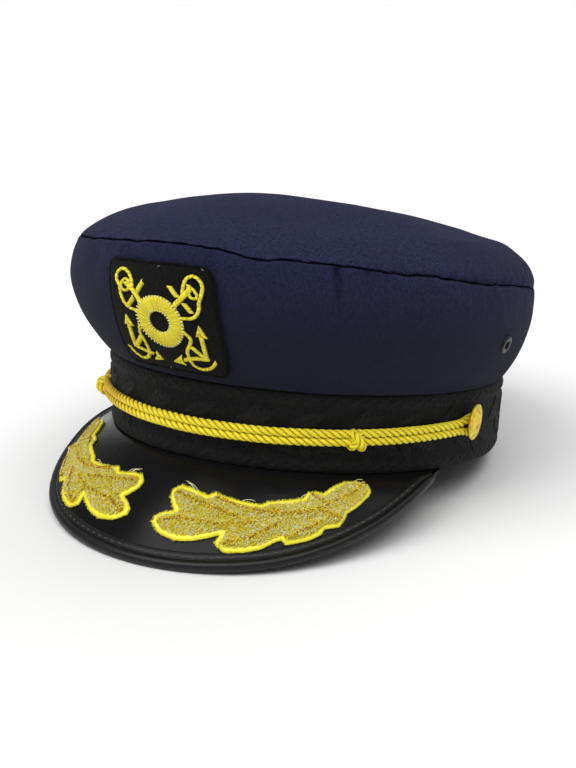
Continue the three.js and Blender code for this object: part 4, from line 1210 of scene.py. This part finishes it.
# Lines of the embroidery, in millimetres from the badge's middle; the last value is the width
RING_MIDDLE, RING_OUTER, RING_INNER = np.array([[3.3, -1.9], [10.5, 12.1], [4.5, 4.9]])  # place and half axes
STROKES = (
    # Left anchor: cable, ring, shank, and the stock on both sides of it
    (((-8.4, 11.6), (-8.3, 14.5), (-9.3, 17.8), (-11.6, 20.3), (-14.3, 20.7), (-16.5, 18.5),
      (-16.6, 15.5), (-14.9, 12.5), (-14.4, 8.8), (-13.0, 5.0), (-10.6, 2.8), (-6.4, 1.7)), 1.35),
    (((-13.7, 14.4), (-12.0, 16.1), (-10.0, 15.5), (-9.4, 13.4), (-10.9, 11.0), (-13.1, 11.2),
      (-14.1, 12.9), (-13.7, 14.4)), 1.2),
    (((-11.4, 14.6), (-8.3, 12.1), (-6.1, 9.4), (-4.1, 6.0)), 2.1),
    (((-2.8, 15.9), (-4.4, 13.3), (-5.6, 11.1)), 1.9),
    (((-7.6, 8.1), (-8.5, 6.8), (-10.7, 4.0)), 1.9),
    # Right anchor, the same
    (((14.6, 11.2), (15.2, 16.4), (16.4, 19.5), (18.7, 20.8), (20.8, 20.0), (22.3, 17.9),
      (22.6, 15.2), (21.9, 11.8), (21.2, 9.3), (21.1, 6.7), (20.0, 3.8), (17.6, 1.7), (13.2, 1.0)), 1.35),
    (((16.9, 16.6), (18.8, 15.1), (20.4, 12.7), (19.8, 11.0), (17.9, 11.3), (17.2, 13.4), (16.9, 16.6)), 1.1),
    (((18.0, 15.2), (14.7, 11.0), (11.1, 6.8)), 2.2),
    (((9.4, 15.2), (11.0, 12.8), (12.5, 10.9)), 1.9),
    (((15.0, 8.1), (16.2, 6.5), (17.8, 4.3)), 1.9),
    # Left arms, shank and cable
    (((-13.3, -5.4), (-14.2, -11.2), (-15.4, -16.7)), 1.8),
    (((-15.4, -16.7), (-11.2, -18.1), (-6.4, -19.3)), 1.8),
    (((-15.0, -16.6), (-11.3, -13.3), (-7.8, -9.8)), 1.9),
    (((-7.2, -4.6), (-8.6, -9.1), (-8.0, -13.8), (-8.4, -18.1), (-11.3, -21.6), (-15.4, -23.0),
      (-17.9, -21.9), (-19.5, -20.0), (-20.1, -17.5)), 1.3),
    # Right arms, shank and cable
    (((20.3, -6.4), (20.4, -11.0), (20.4, -17.8)), 1.8),
    (((20.7, -17.8), (14.7, -18.2), (9.2, -19.7)), 1.8),
    (((20.3, -17.6), (17.5, -15.1), (14.9, -12.3)), 1.9),
    (((12.9, -4.9), (15.5, -8.2), (14.8, -10.9), (12.5, -14.7), (12.1, -18.7), (13.1, -22.0),
      (16.5, -23.4), (21.0, -21.9), (24.0, -18.5)), 1.4),
)
# Arrow heads at the ends of the arms: point, and the two barbs
ARROWS = (
    ((-13.3, -0.9), (-16.0, -5.9), (-11.0, -6.3)), ((-2.6, -21.6), (-4.0, -17.5), (-7.6, -22.6)),
    ((20.2, -1.4), (17.9, -6.9), (22.8, -7.0)), ((3.4, -21.4), (8.7, -17.3), (8.8, -22.7)),
)
EMBLEM_RISE, SATIN_PITCH, SATIN_RADIUS = 0.75, 0.36, 0.23
ROPE_THREADS, ROPE_WIDTH = 6, 1.5  # threads to one lay of the ropes, and what is narrow enough to be one
RING_THREADS, RING_TICKS, RING_INNER_TICKS, PALE = 226, 48, 26, 1.6


def satin(batch, left, right, rise, seed, base=0.0, rope=0.0):
    """Threads laid from left to right points over padding that rises between them.

    rope is how strongly the padding swells and falls along the line, as a laid rope does, and the tint with
    it as painted light and shade.
    """
    count = len(left)
    swell = rope * np.cos(math.tau * np.arange(count) / ROPE_THREADS)
    steps = np.linspace(0, 1, 7)
    spot = left[:, None] + (right - left)[:, None] * steps[:, None]
    spot = spot + seeded((count, 1, 2), seed, -0.06, 0.06)
    arch = rise * (1 - np.abs(2 * steps - 1) ** 2.6) ** 0.6
    arch = arch * (1 + seeded((count, 1), seed + 1, -0.1, 0.1) + 0.4 * swell[:, None])
    # the tint follows the swell: painted light on the rope's crests, painted shade between them
    tint = seeded(count, seed + 2, -0.1, 0.8) + 0.45 * swell
    height = BADGE_THICK + base + 0.1 + arch
    badge_tubes(batch, spot, height, SATIN_RADIUS, 6, point=0.6, tint=tint, hollow=1.0)


def emblem():
    batch = Batch()
    for at, (corners, width) in enumerate(STROKES):
        line = smooth_line(corners, SATIN_PITCH)
        along = tangent(line)
        slant = leftward(along) * width / 2 + along * width * 0.35
        rope = 0.5 if width < ROPE_WIDTH else 0.2
        rise, base = EMBLEM_RISE * min(1, width / 1.8), 0.12 * (at % 3)
        satin(batch, line + slant, line - slant, rise, 100 + at, base, rope)
    for at, arrow in enumerate(ARROWS):
        tip, left, right = (np.array(corner) for corner in arrow)
        share = np.linspace(0.03, 1, 16)[:, None]
        notch = ((left + right) / 2 - tip) * 0.8
        satin(batch, tip + (left - tip) * share, tip + notch * share, 0.6, 200 + at)
        satin(batch, tip + notch * share, tip + (right - tip) * share, 0.6, 210 + at)
    life_ring(batch)
    return batch.made("badge_embroidery", THREAD, "yellow_thread", "badge_emblem")


def life_ring(batch):
    """Threads laid across the ring, a little parted at each bundle and darker there as painted shade, with
    pale ticks over both edges.
    """
    turn = np.linspace(0, math.tau, RING_THREADS + 1)[:-1]
    bundle = (turn / math.tau * RING_TICKS) % 1
    turned = np.stack([np.cos(turn), np.sin(turn)], -1)
    outer = RING_MIDDLE + turned * RING_OUTER * (1 - 0.015 * (bundle < 0.25))[:, None]
    satin(batch, RING_MIDDLE + turned * RING_INNER, outer, 1.15, 300, 0.2)
    tints = 0.2 + 0.45 * (batch.tints[-1] - 0.35)
    # painted shade: the threads at each parting are darkened
    batch.tints[-1] = tints - np.repeat(0.12 * (bundle < 0.3), len(tints) // RING_THREADS)
    for share, half, count, seed in ((0.955, 0.5, RING_TICKS, 310), (0.07, 0.45, RING_INNER_TICKS, 320)):
        ticks = np.linspace(0, math.tau, count, endpoint=False)
        turned = np.stack([np.cos(ticks), np.sin(ticks)], -1)
        spot = RING_MIDDLE + turned * lerp(RING_INNER, RING_OUTER, share)
        satin(batch, spot - turned * half, spot + turned * half, 0.5, seed, 0.6)
        batch.tints[-1][:] = PALE


# Oak sprays: a cut cloth with a raised outline, covered by leaves of short bullion
SPRAY_OUTLINE = (
    (3.2, 0.667), (3.3, 0.61), (5.0, 0.563), (6.9, 0.54), (5.8, 0.493), (4.5, 0.43), (4.3, 0.363),
    (5.9, 0.31), (8.9, 0.32), (11.6, 0.35), (13.3, 0.363), (14.4, 0.327), (18.1, 0.367), (21.8, 0.393),
    (25.4, 0.413),
    (26.6, 0.383), (30.5, 0.367), (34.4, 0.357), (35.5, 0.287), (37.7, 0.283), (39.0, 0.317), (41.6, 0.23),
    (44.5, 0.17), (47.8, 0.18), (50.0, 0.25), (50.5, 0.377), (49.7, 0.463), (46.3, 0.577), (43.8, 0.623),
    (43.1, 0.693), (41.9, 0.753), (38.8, 0.73), (38.1, 0.78), (36.0, 0.807), (33.8, 0.81), (31.1, 0.81),
    (30.1, 0.757), (28.9, 0.773), (26.6, 0.82), (23.8, 0.84), (19.7, 0.843), (18.1, 0.793), (17.5, 0.767),
    (18.2, 0.693), (15.6, 0.73), (13.0, 0.76), (9.6, 0.773), (5.8, 0.74),
)
# Ribs of the spray's leaves from tip to base, as angle and share of the peak
RIBS = (
    ((5.0, 0.65), (9.5, 0.603), (14.7, 0.61), (18.7, 0.623), (24.0, 0.6)),
    ((6.1, 0.387), (9.7, 0.423), (13.4, 0.46), (17.3, 0.5), (21.0, 0.545)),
    ((15.7, 0.383), (21.1, 0.453), (23.9, 0.473), (27.0, 0.503), (29.7, 0.52)),
    ((27.5, 0.453), (30.4, 0.523), (34.0, 0.523), (38.5, 0.523)),
    ((36.5, 0.337), (37.9, 0.4), (39.6, 0.47)),
    ((48.8, 0.25), (47.0, 0.345), (44.2, 0.413), (40.0, 0.477), (37.8, 0.513)),
    ((42.1, 0.677), (40.1, 0.59), (38.1, 0.55)),
    ((31.2, 0.763), (34.1, 0.72), (38.3, 0.66), (40.1, 0.627)),
    ((18.9, 0.783), (24.5, 0.72), (27.7, 0.653), (29.8, 0.6)),
)
SPRAY_CLOTH, SPRAY_CELL = 0.95, 0.54
CHIP_RADIUS, CHIP_SPACE = 0.32, 0.68
BARE_EDGE, BARE_CHANGE = 2.0, 0.65  # how much of the cloth shows round the leaves
CHAIN_PITCH, CHAIN_RADIUS, CHAIN_HEIGHT = 1.05, 0.24, 1.25
CUT_SPACE, CUT_RADIUS, LONG_THREADS = 0.55, 0.1, 0.028


def spray_point(angle, share, height):
    up = peak_frame(angle, share)[1]
    return peak_point(angle, share) + up * (GAP + np.asarray(height, float))[..., None]


def leaf_millimetres(angle, share):
    """Flat coordinates on the peak, in millimetres along its curve and out from the band."""
    along = np.radians(angle) * (BAND_LENGTH / 2 + PEAK_REACH / 2)
    return np.stack([along, np.asarray(share) * math.hypot(PEAK_REACH, PEAK_DROP)], -1)


def leaf_angles(flat):
    """The angle and share of the peak for those flat coordinates."""
    angle = np.degrees(flat[..., 0] / (BAND_LENGTH / 2 + PEAK_REACH / 2))
    return angle, flat[..., 1] / math.hypot(PEAK_REACH, PEAK_DROP)


def lattice(outline, step, margin=0.0):
    """Evenly spaced spots over the box round an outline, by column and row."""
    low, high = outline.min(0) - margin, outline.max(0) + margin
    return np.stack(crossed(np.arange(low[0], high[0], step), np.arange(low[1], high[1], step)), -1)


def spray_tubes(batch, side, flat, height, radius, sides=4, **looks):
    """Tubes over one side of the peak, along paths in its flat coordinates."""
    angle, share = leaf_angles(flat)
    paths = spray_point(side * angle, share, height)
    batch.tubes(paths, peak_frame(side * angle, share)[1], radius, sides, **looks)


def inside_distance(spots, outline):
    """Distance of spots from an outline, positive inside it, and the nearest outline point."""
    starts, ends = outline, np.roll(outline, -1, 0)
    edge = ends - starts
    offset = spots[:, None] - starts
    share = np.clip((offset * edge).sum(-1) / (edge**2).sum(-1), 0, 1)
    nearest = starts + edge * share[..., None]
    gaps = np.linalg.norm(spots[:, None] - nearest, axis=-1)
    best = gaps.argmin(1)
    crosses = (starts[:, 1] > spots[:, None, 1]) != (ends[:, 1] > spots[:, None, 1])
    with np.errstate(divide="ignore", invalid="ignore"):
        where = starts[:, 0] + (spots[:, None, 1] - starts[:, 1]) / edge[:, 1] * edge[:, 0]
    inside = (crosses & (spots[:, None, 0] < where)).sum(1) % 2 == 1
    rows = np.arange(len(spots))
    return np.where(inside, 1, -1) * gaps[rows, best], nearest[rows, best]


def spray_cloth(batch, side, outline):
    """The cut cloth under the leaves: a grid whose border points are pulled onto the outline."""
    grid = lattice(outline, SPRAY_CELL, SPRAY_CELL)
    columns, rows = grid.shape[:2]
    spots = grid.reshape(-1, 2)
    inside, nearest = inside_distance(spots, outline)
    kept = (inside > -SPRAY_CELL * 0.5).reshape(columns, rows)
    cells = kept[:-1, :-1] & kept[1:, :-1] & kept[1:, 1:] & kept[:-1, 1:]
    quads = grid_faces(columns, rows, False, False)[0][cells.ravel()]
    at_border = (np.abs(inside) < SPRAY_CELL * 0.75) | (inside < 0)
    pulled = np.where(at_border[:, None], nearest, spots)
    used, index = np.unique(quads, return_inverse=True)
    quads, count = index.reshape(-1, 4), len(used)
    flat, depth = pulled[used], np.maximum(inside[used], 0)
    fuzz = flat_noise(flat[:, 0], flat[:, 1], 0.8, 2.5) * 0.12
    height = SPRAY_CLOTH * smooth(-0.3, 0.8, depth) + fuzz * smooth(0, 0.5, depth)
    angle, share = leaf_angles(flat)
    top, bottom = (spray_point(side * angle, share, level) for level in (height, -0.1))
    edges = np.concatenate([quads[:, [a, b]] for a, b in ((0, 1), (1, 2), (2, 3), (3, 0))])
    keys = np.sort(edges, 1) @ [count, 1]
    _, first, times = np.unique(keys, return_index=True, return_counts=True)
    border = edges[first[times == 1]]
    wall = np.stack([border[:, 1], border[:, 0], border[:, 0] + count, border[:, 1] + count], -1)
    faces = np.concatenate([quads, quads[:, ::-1] + count, wall])
    if side > 0:
        faces = faces[:, ::-1]
    maps = np.concatenate([flat, flat])[faces] / 1000
    batch.add(np.concatenate([top, bottom]), faces, maps, 0.5)


def rib_lines():
    """Points along all the ribs in millimetres, with each one's direction towards its leaf's tip."""
    lines = [smooth_line(leaf_millimetres(*np.array(rib).T), 0.6) for rib in RIBS]
    return np.concatenate(lines), np.concatenate([-tangent(line) for line in lines])


def leaf_height(away):
    """Height of the leaves' padding over the cloth, by the distance from the nearest rib."""
    return 0.35 + 0.95 * np.exp(-((away / 3.0) ** 2)) - 0.4 * np.exp(-((away / 0.6) ** 2))


def bullion_chips(batch, side, outline):
    """Short lengths of bullion laid in a herringbone from the nearest rib, all over the leaves."""
    spots = lattice(outline, CHIP_SPACE).reshape(-1, 2)
    spots = spots + seeded(spots.shape, 51, -0.42, 0.42) * CHIP_SPACE * 1.2
    depth, _ = inside_distance(spots, outline)
    kept = depth > BARE_EDGE + BARE_CHANGE * flat_noise(spots[:, 0], spots[:, 1], 5.0, 4.4)
    spots, depth = spots[kept], depth[kept]
    ribs, ways = rib_lines()
    nearest = np.linalg.norm(spots[:, None] - ribs, axis=-1).argmin(1)
    way, offset = ways[nearest], spots - ribs[nearest]
    away = np.linalg.norm(offset, axis=1)
    across = leftward(way)
    across = across * np.where((offset * across).sum(1) < 0, -1, 1)[:, None]
    count = len(spots)
    lie = unit(across + way * seeded((count, 1), 52, 0.45, 1.15))
    length = seeded((count, 1), 53, 0.7, 1.5)
    steps = np.linspace(-0.5, 0.5, 3)
    path = spots[:, None] + lie[:, None] * (length * steps)[..., None]
    height = SPRAY_CLOTH + leaf_height(away) * smooth(BARE_EDGE - 0.4, BARE_EDGE + 1.2, depth)
    height = height[:, None] + seeded((count, 1), 54, -0.18, 0.24) + 0.16 * np.cos(math.pi * steps)
    height = height + seeded((count, 1), 55, -0.16, 0.16) * steps * 2
    tint = seeded(count, 56, 0.06, 1.02) - 0.25 * np.exp(-((away / 0.8) ** 2))
    spray_tubes(batch, side, path, height, CHIP_RADIUS, point=0.7, tint=tint, hollow=0.3)


def rib_chains(batch, side):
    """A chain of dark slanted stitches on both sides of each rib."""
    steps = np.linspace(0, 1, 5)
    arch = CHAIN_HEIGHT + 0.28 * np.sin(math.pi * lerp(0.1, 0.9, steps))
    for at, rib in enumerate(RIBS):
        line = smooth_line(leaf_millimetres(*np.array(rib).T), CHAIN_PITCH)
        way = -tangent(line)
        height = SPRAY_CLOTH + arch + seeded((len(line), 1), 60 + at, -0.1, 0.1)
        for turn in (-1, 1):
            reach = leftward(way) * turn * 0.75 + way * 0.8
            path = line[:, None] + reach[:, None] * steps[:, None]
            tint = seeded(len(line), 80 + at + turn, -0.55, 0.4)
            spray_tubes(batch, side, path, height, CHAIN_RADIUS, 6, point=0.6, tint=tint, hollow=0.5)


def cut_threads(batch, side, outline):
    """Short cut threads round the cloth's edge, and a few long ones on its inner side."""
    line = even_steps(np.concatenate([outline, outline[:1]]), CUT_SPACE, False)[0]
    along = tangent(line)
    out = -leftward(along)
    if inside_distance(line + out * 0.3, outline)[0].mean() > 0:
        out = -out
    count = len(line)
    long = ((seeded(count, 71) < LONG_THREADS) & (out[:, 1] < -0.4))[:, None]
    length = np.where(long, seeded((count, 1), 72, 3.5, 8.0), seeded((count, 1), 73, 0.15, 0.75))
    lean = seeded((count, 1), 74, -1.1, 1.1)
    lean = unit(out * np.where(long, 0.2, 1.0) + along * np.where(long, np.sign(lean), lean))
    steps = np.linspace(0, 1, 6)
    path = line[:, None] - out[:, None] * 0.4 + lean[:, None] * ((length + 0.4) * steps)[..., None]
    path = path + out[:, None] * (0.6 * np.sin(math.pi * steps) * long)[..., None]
    height = SPRAY_CLOTH * 0.75 + np.where(long, 0.8, 0.15) * np.sin(math.pi * 0.8 * steps)
    tint = np.where(long[:, 0], 2.2, seeded(count, 75, 0.3, 1.2))
    spray_tubes(batch, side, path, height, CUT_RADIUS, point=0.5, tint=tint)


def oak_spray(name, side):
    outline = leaf_millimetres(*np.array(SPRAY_OUTLINE).T)
    cloth = Batch()
    spray_cloth(cloth, side, outline)
    cut_threads(cloth, side, outline)
    cloth.made(f"spray_cloth_{name}", THREAD, "yellow_thread")
    leaves = Batch()
    bullion_chips(leaves, side, outline)
    rib_chains(leaves, side)
    return leaves.made(f"spray_leaves_{name}", BULLION, "gold_bullion", f"oak_spray_{name}")


# Buttons and eyelets
# Lines of the anchor on the buttons, in millimetres from the middle
BUTTON_ANCHOR = (
    ((0, 3.2), (0, -3.6)), ((-1.7, 2.2), (1.7, 2.2)), ((0, -3.6), (-2.6, -1.9)), ((0, -3.6), (2.6, -1.9)),
)
# How the button sits on the cord: millimetres up, degrees forwards round the band, degrees turned rearwards
BUTTON_RAISE, BUTTON_AHEAD, BUTTON_TURN = 2.0, 1.4, 14.0


def lathe(batch, profile, foot, outward, relief=None, steps=96):
    """A turned piece that stands on a foot: profile rows are radius and height, axis to axis."""
    outward = unit(np.asarray(outward, float))
    across = unit(np.cross([0, 0, 1], outward))
    up = np.cross(outward, across)
    turn = np.linspace(0, math.tau, steps + 1)[:-1]
    profile = np.array(profile)
    radius, height = profile[:, 0] + 0 * turn[:, None], profile[:, 1] + 0 * turn[:, None]
    x, y = radius * np.cos(turn)[:, None], radius * np.sin(turn)[:, None]
    if relief:
        height = height + relief(x, y, turn[:, None] + 0 * radius)
    points = foot + x[..., None] * across + y[..., None] * up + height[..., None] * outward
    batch.grid(points, wrap=(True, True))


def facing(surface, angle, at):
    """A point of a surface and its outward normal."""
    step = 0.01
    along = surface(angle + step, at) - surface(angle - step, at)
    rise = surface(angle, at + step) - surface(angle, at - step)
    return surface(angle, at), unit(np.cross(along, rise))


def segment_distance(x, y, start, end):
    start, end = np.array(start, float), np.array(end, float)
    edge = end - start
    share = np.clip(((x - start[0]) * edge[0] + (y - start[1]) * edge[1]) / (edge @ edge), 0, 1)
    return np.hypot(x - start[0] - edge[0] * share, y - start[1] - edge[1] * share)


def button_relief(x, y, turn):
    """A plain anchor inside a roped edge, struck in low relief."""
    near = np.min([segment_distance(x, y, *line) for line in BUTTON_ANCHOR], axis=0)
    near = np.minimum(near, np.abs(np.hypot(x, y - 4.0) - 0.75))
    reach = np.hypot(x, y)
    rope = np.exp(-(((reach - 6.0) / 0.35) ** 2)) * (0.5 + 0.5 * np.cos(40 * turn + 5 * reach))
    return 0.32 * smooth(0.55, 0.2, near) * (reach < 5.4) + 0.22 * rope


def button(name, side):
    angle, height = side * (BUTTON_ANGLE - BUTTON_AHEAD), cord_height(BUTTON_ANGLE) + BUTTON_RAISE
    foot, outward = facing(band_point, angle, height)
    turn = math.radians(side * BUTTON_TURN)
    cosine, sine = math.cos(turn), math.sin(turn)
    outward = outward @ np.array([[cosine, sine, 0], [-sine, cosine, 0], [0, 0, 1]])
    radius, back = BUTTON_DIAMETER / 2, CORD_DIAMETER + 2 * GAP
    shank = [(0.02, GAP), (BUTTON_SHANK / 2, GAP), (BUTTON_SHANK / 2, GAP + 0.3), (BUTTON_NECK, GAP + 0.8)]
    shank += [(BUTTON_NECK, back)]
    edge = [(radius * 0.9, back + 0.1), (radius * 0.97, back + 0.3), (radius, back + 0.75)]
    edge += [(radius * 0.985, back + 1.2), (radius * 0.93, back + 1.5), (radius * 0.87, back + 1.42)]
    edge += [(radius * 0.82, back + 1.15)]
    face = [(radius * share, back + 1.15 + (BUTTON_DOME - 1.15) * (1 - (share / 0.82) ** 2) ** 0.8)
            for share in np.linspace(0.8, 0.003, 40)]
    batch = Batch()
    lathe(batch, shank + edge + face, foot, outward, button_relief)
    return batch.made(f"gilt_button_{name}", GILT, "gilt_metal", f"button_{name}")


def eyelet(name, side):
    foot, outward = facing(side_point, side * EYELET_ANGLE, EYELET_SHARE)
    hole, barrel, outer = EYELET_HOLE / 2, EYELET_BARREL / 2, EYELET_DIAMETER / 2
    base = GAP * 1.5
    roll = [(lerp(outer, hole, 0.5 - 0.5 * math.cos(turn)), base + 0.85 * math.sin(turn) ** 0.7)
            for turn in np.linspace(0.05, math.pi - 0.1, 14)]
    profile = [(hole, -CLOTH), (barrel, -CLOTH), (barrel, base - 0.1)]
    profile += [(outer - 0.2, base - 0.1), (outer, base), *roll]
    batch = Batch()
    lathe(batch, profile, foot, outward, steps=48)
    return batch.made(f"vent_eyelet_{name}", DARK_METAL, "dark_metal", f"eyelet_{name}")


crown_side()
crown_top()
seam_shade_thread()
hat_band()
peak_shell()
peak_rim()
rim_stitches()
chin_cord()
badge_patch()
tack_stitches()
emblem()
for name, side in (("left", 1), ("right", -1)):
    cord_knot(f"knot_{name}", side)
    oak_spray(name, side)
    button(name, side)
    eyelet(name, side)
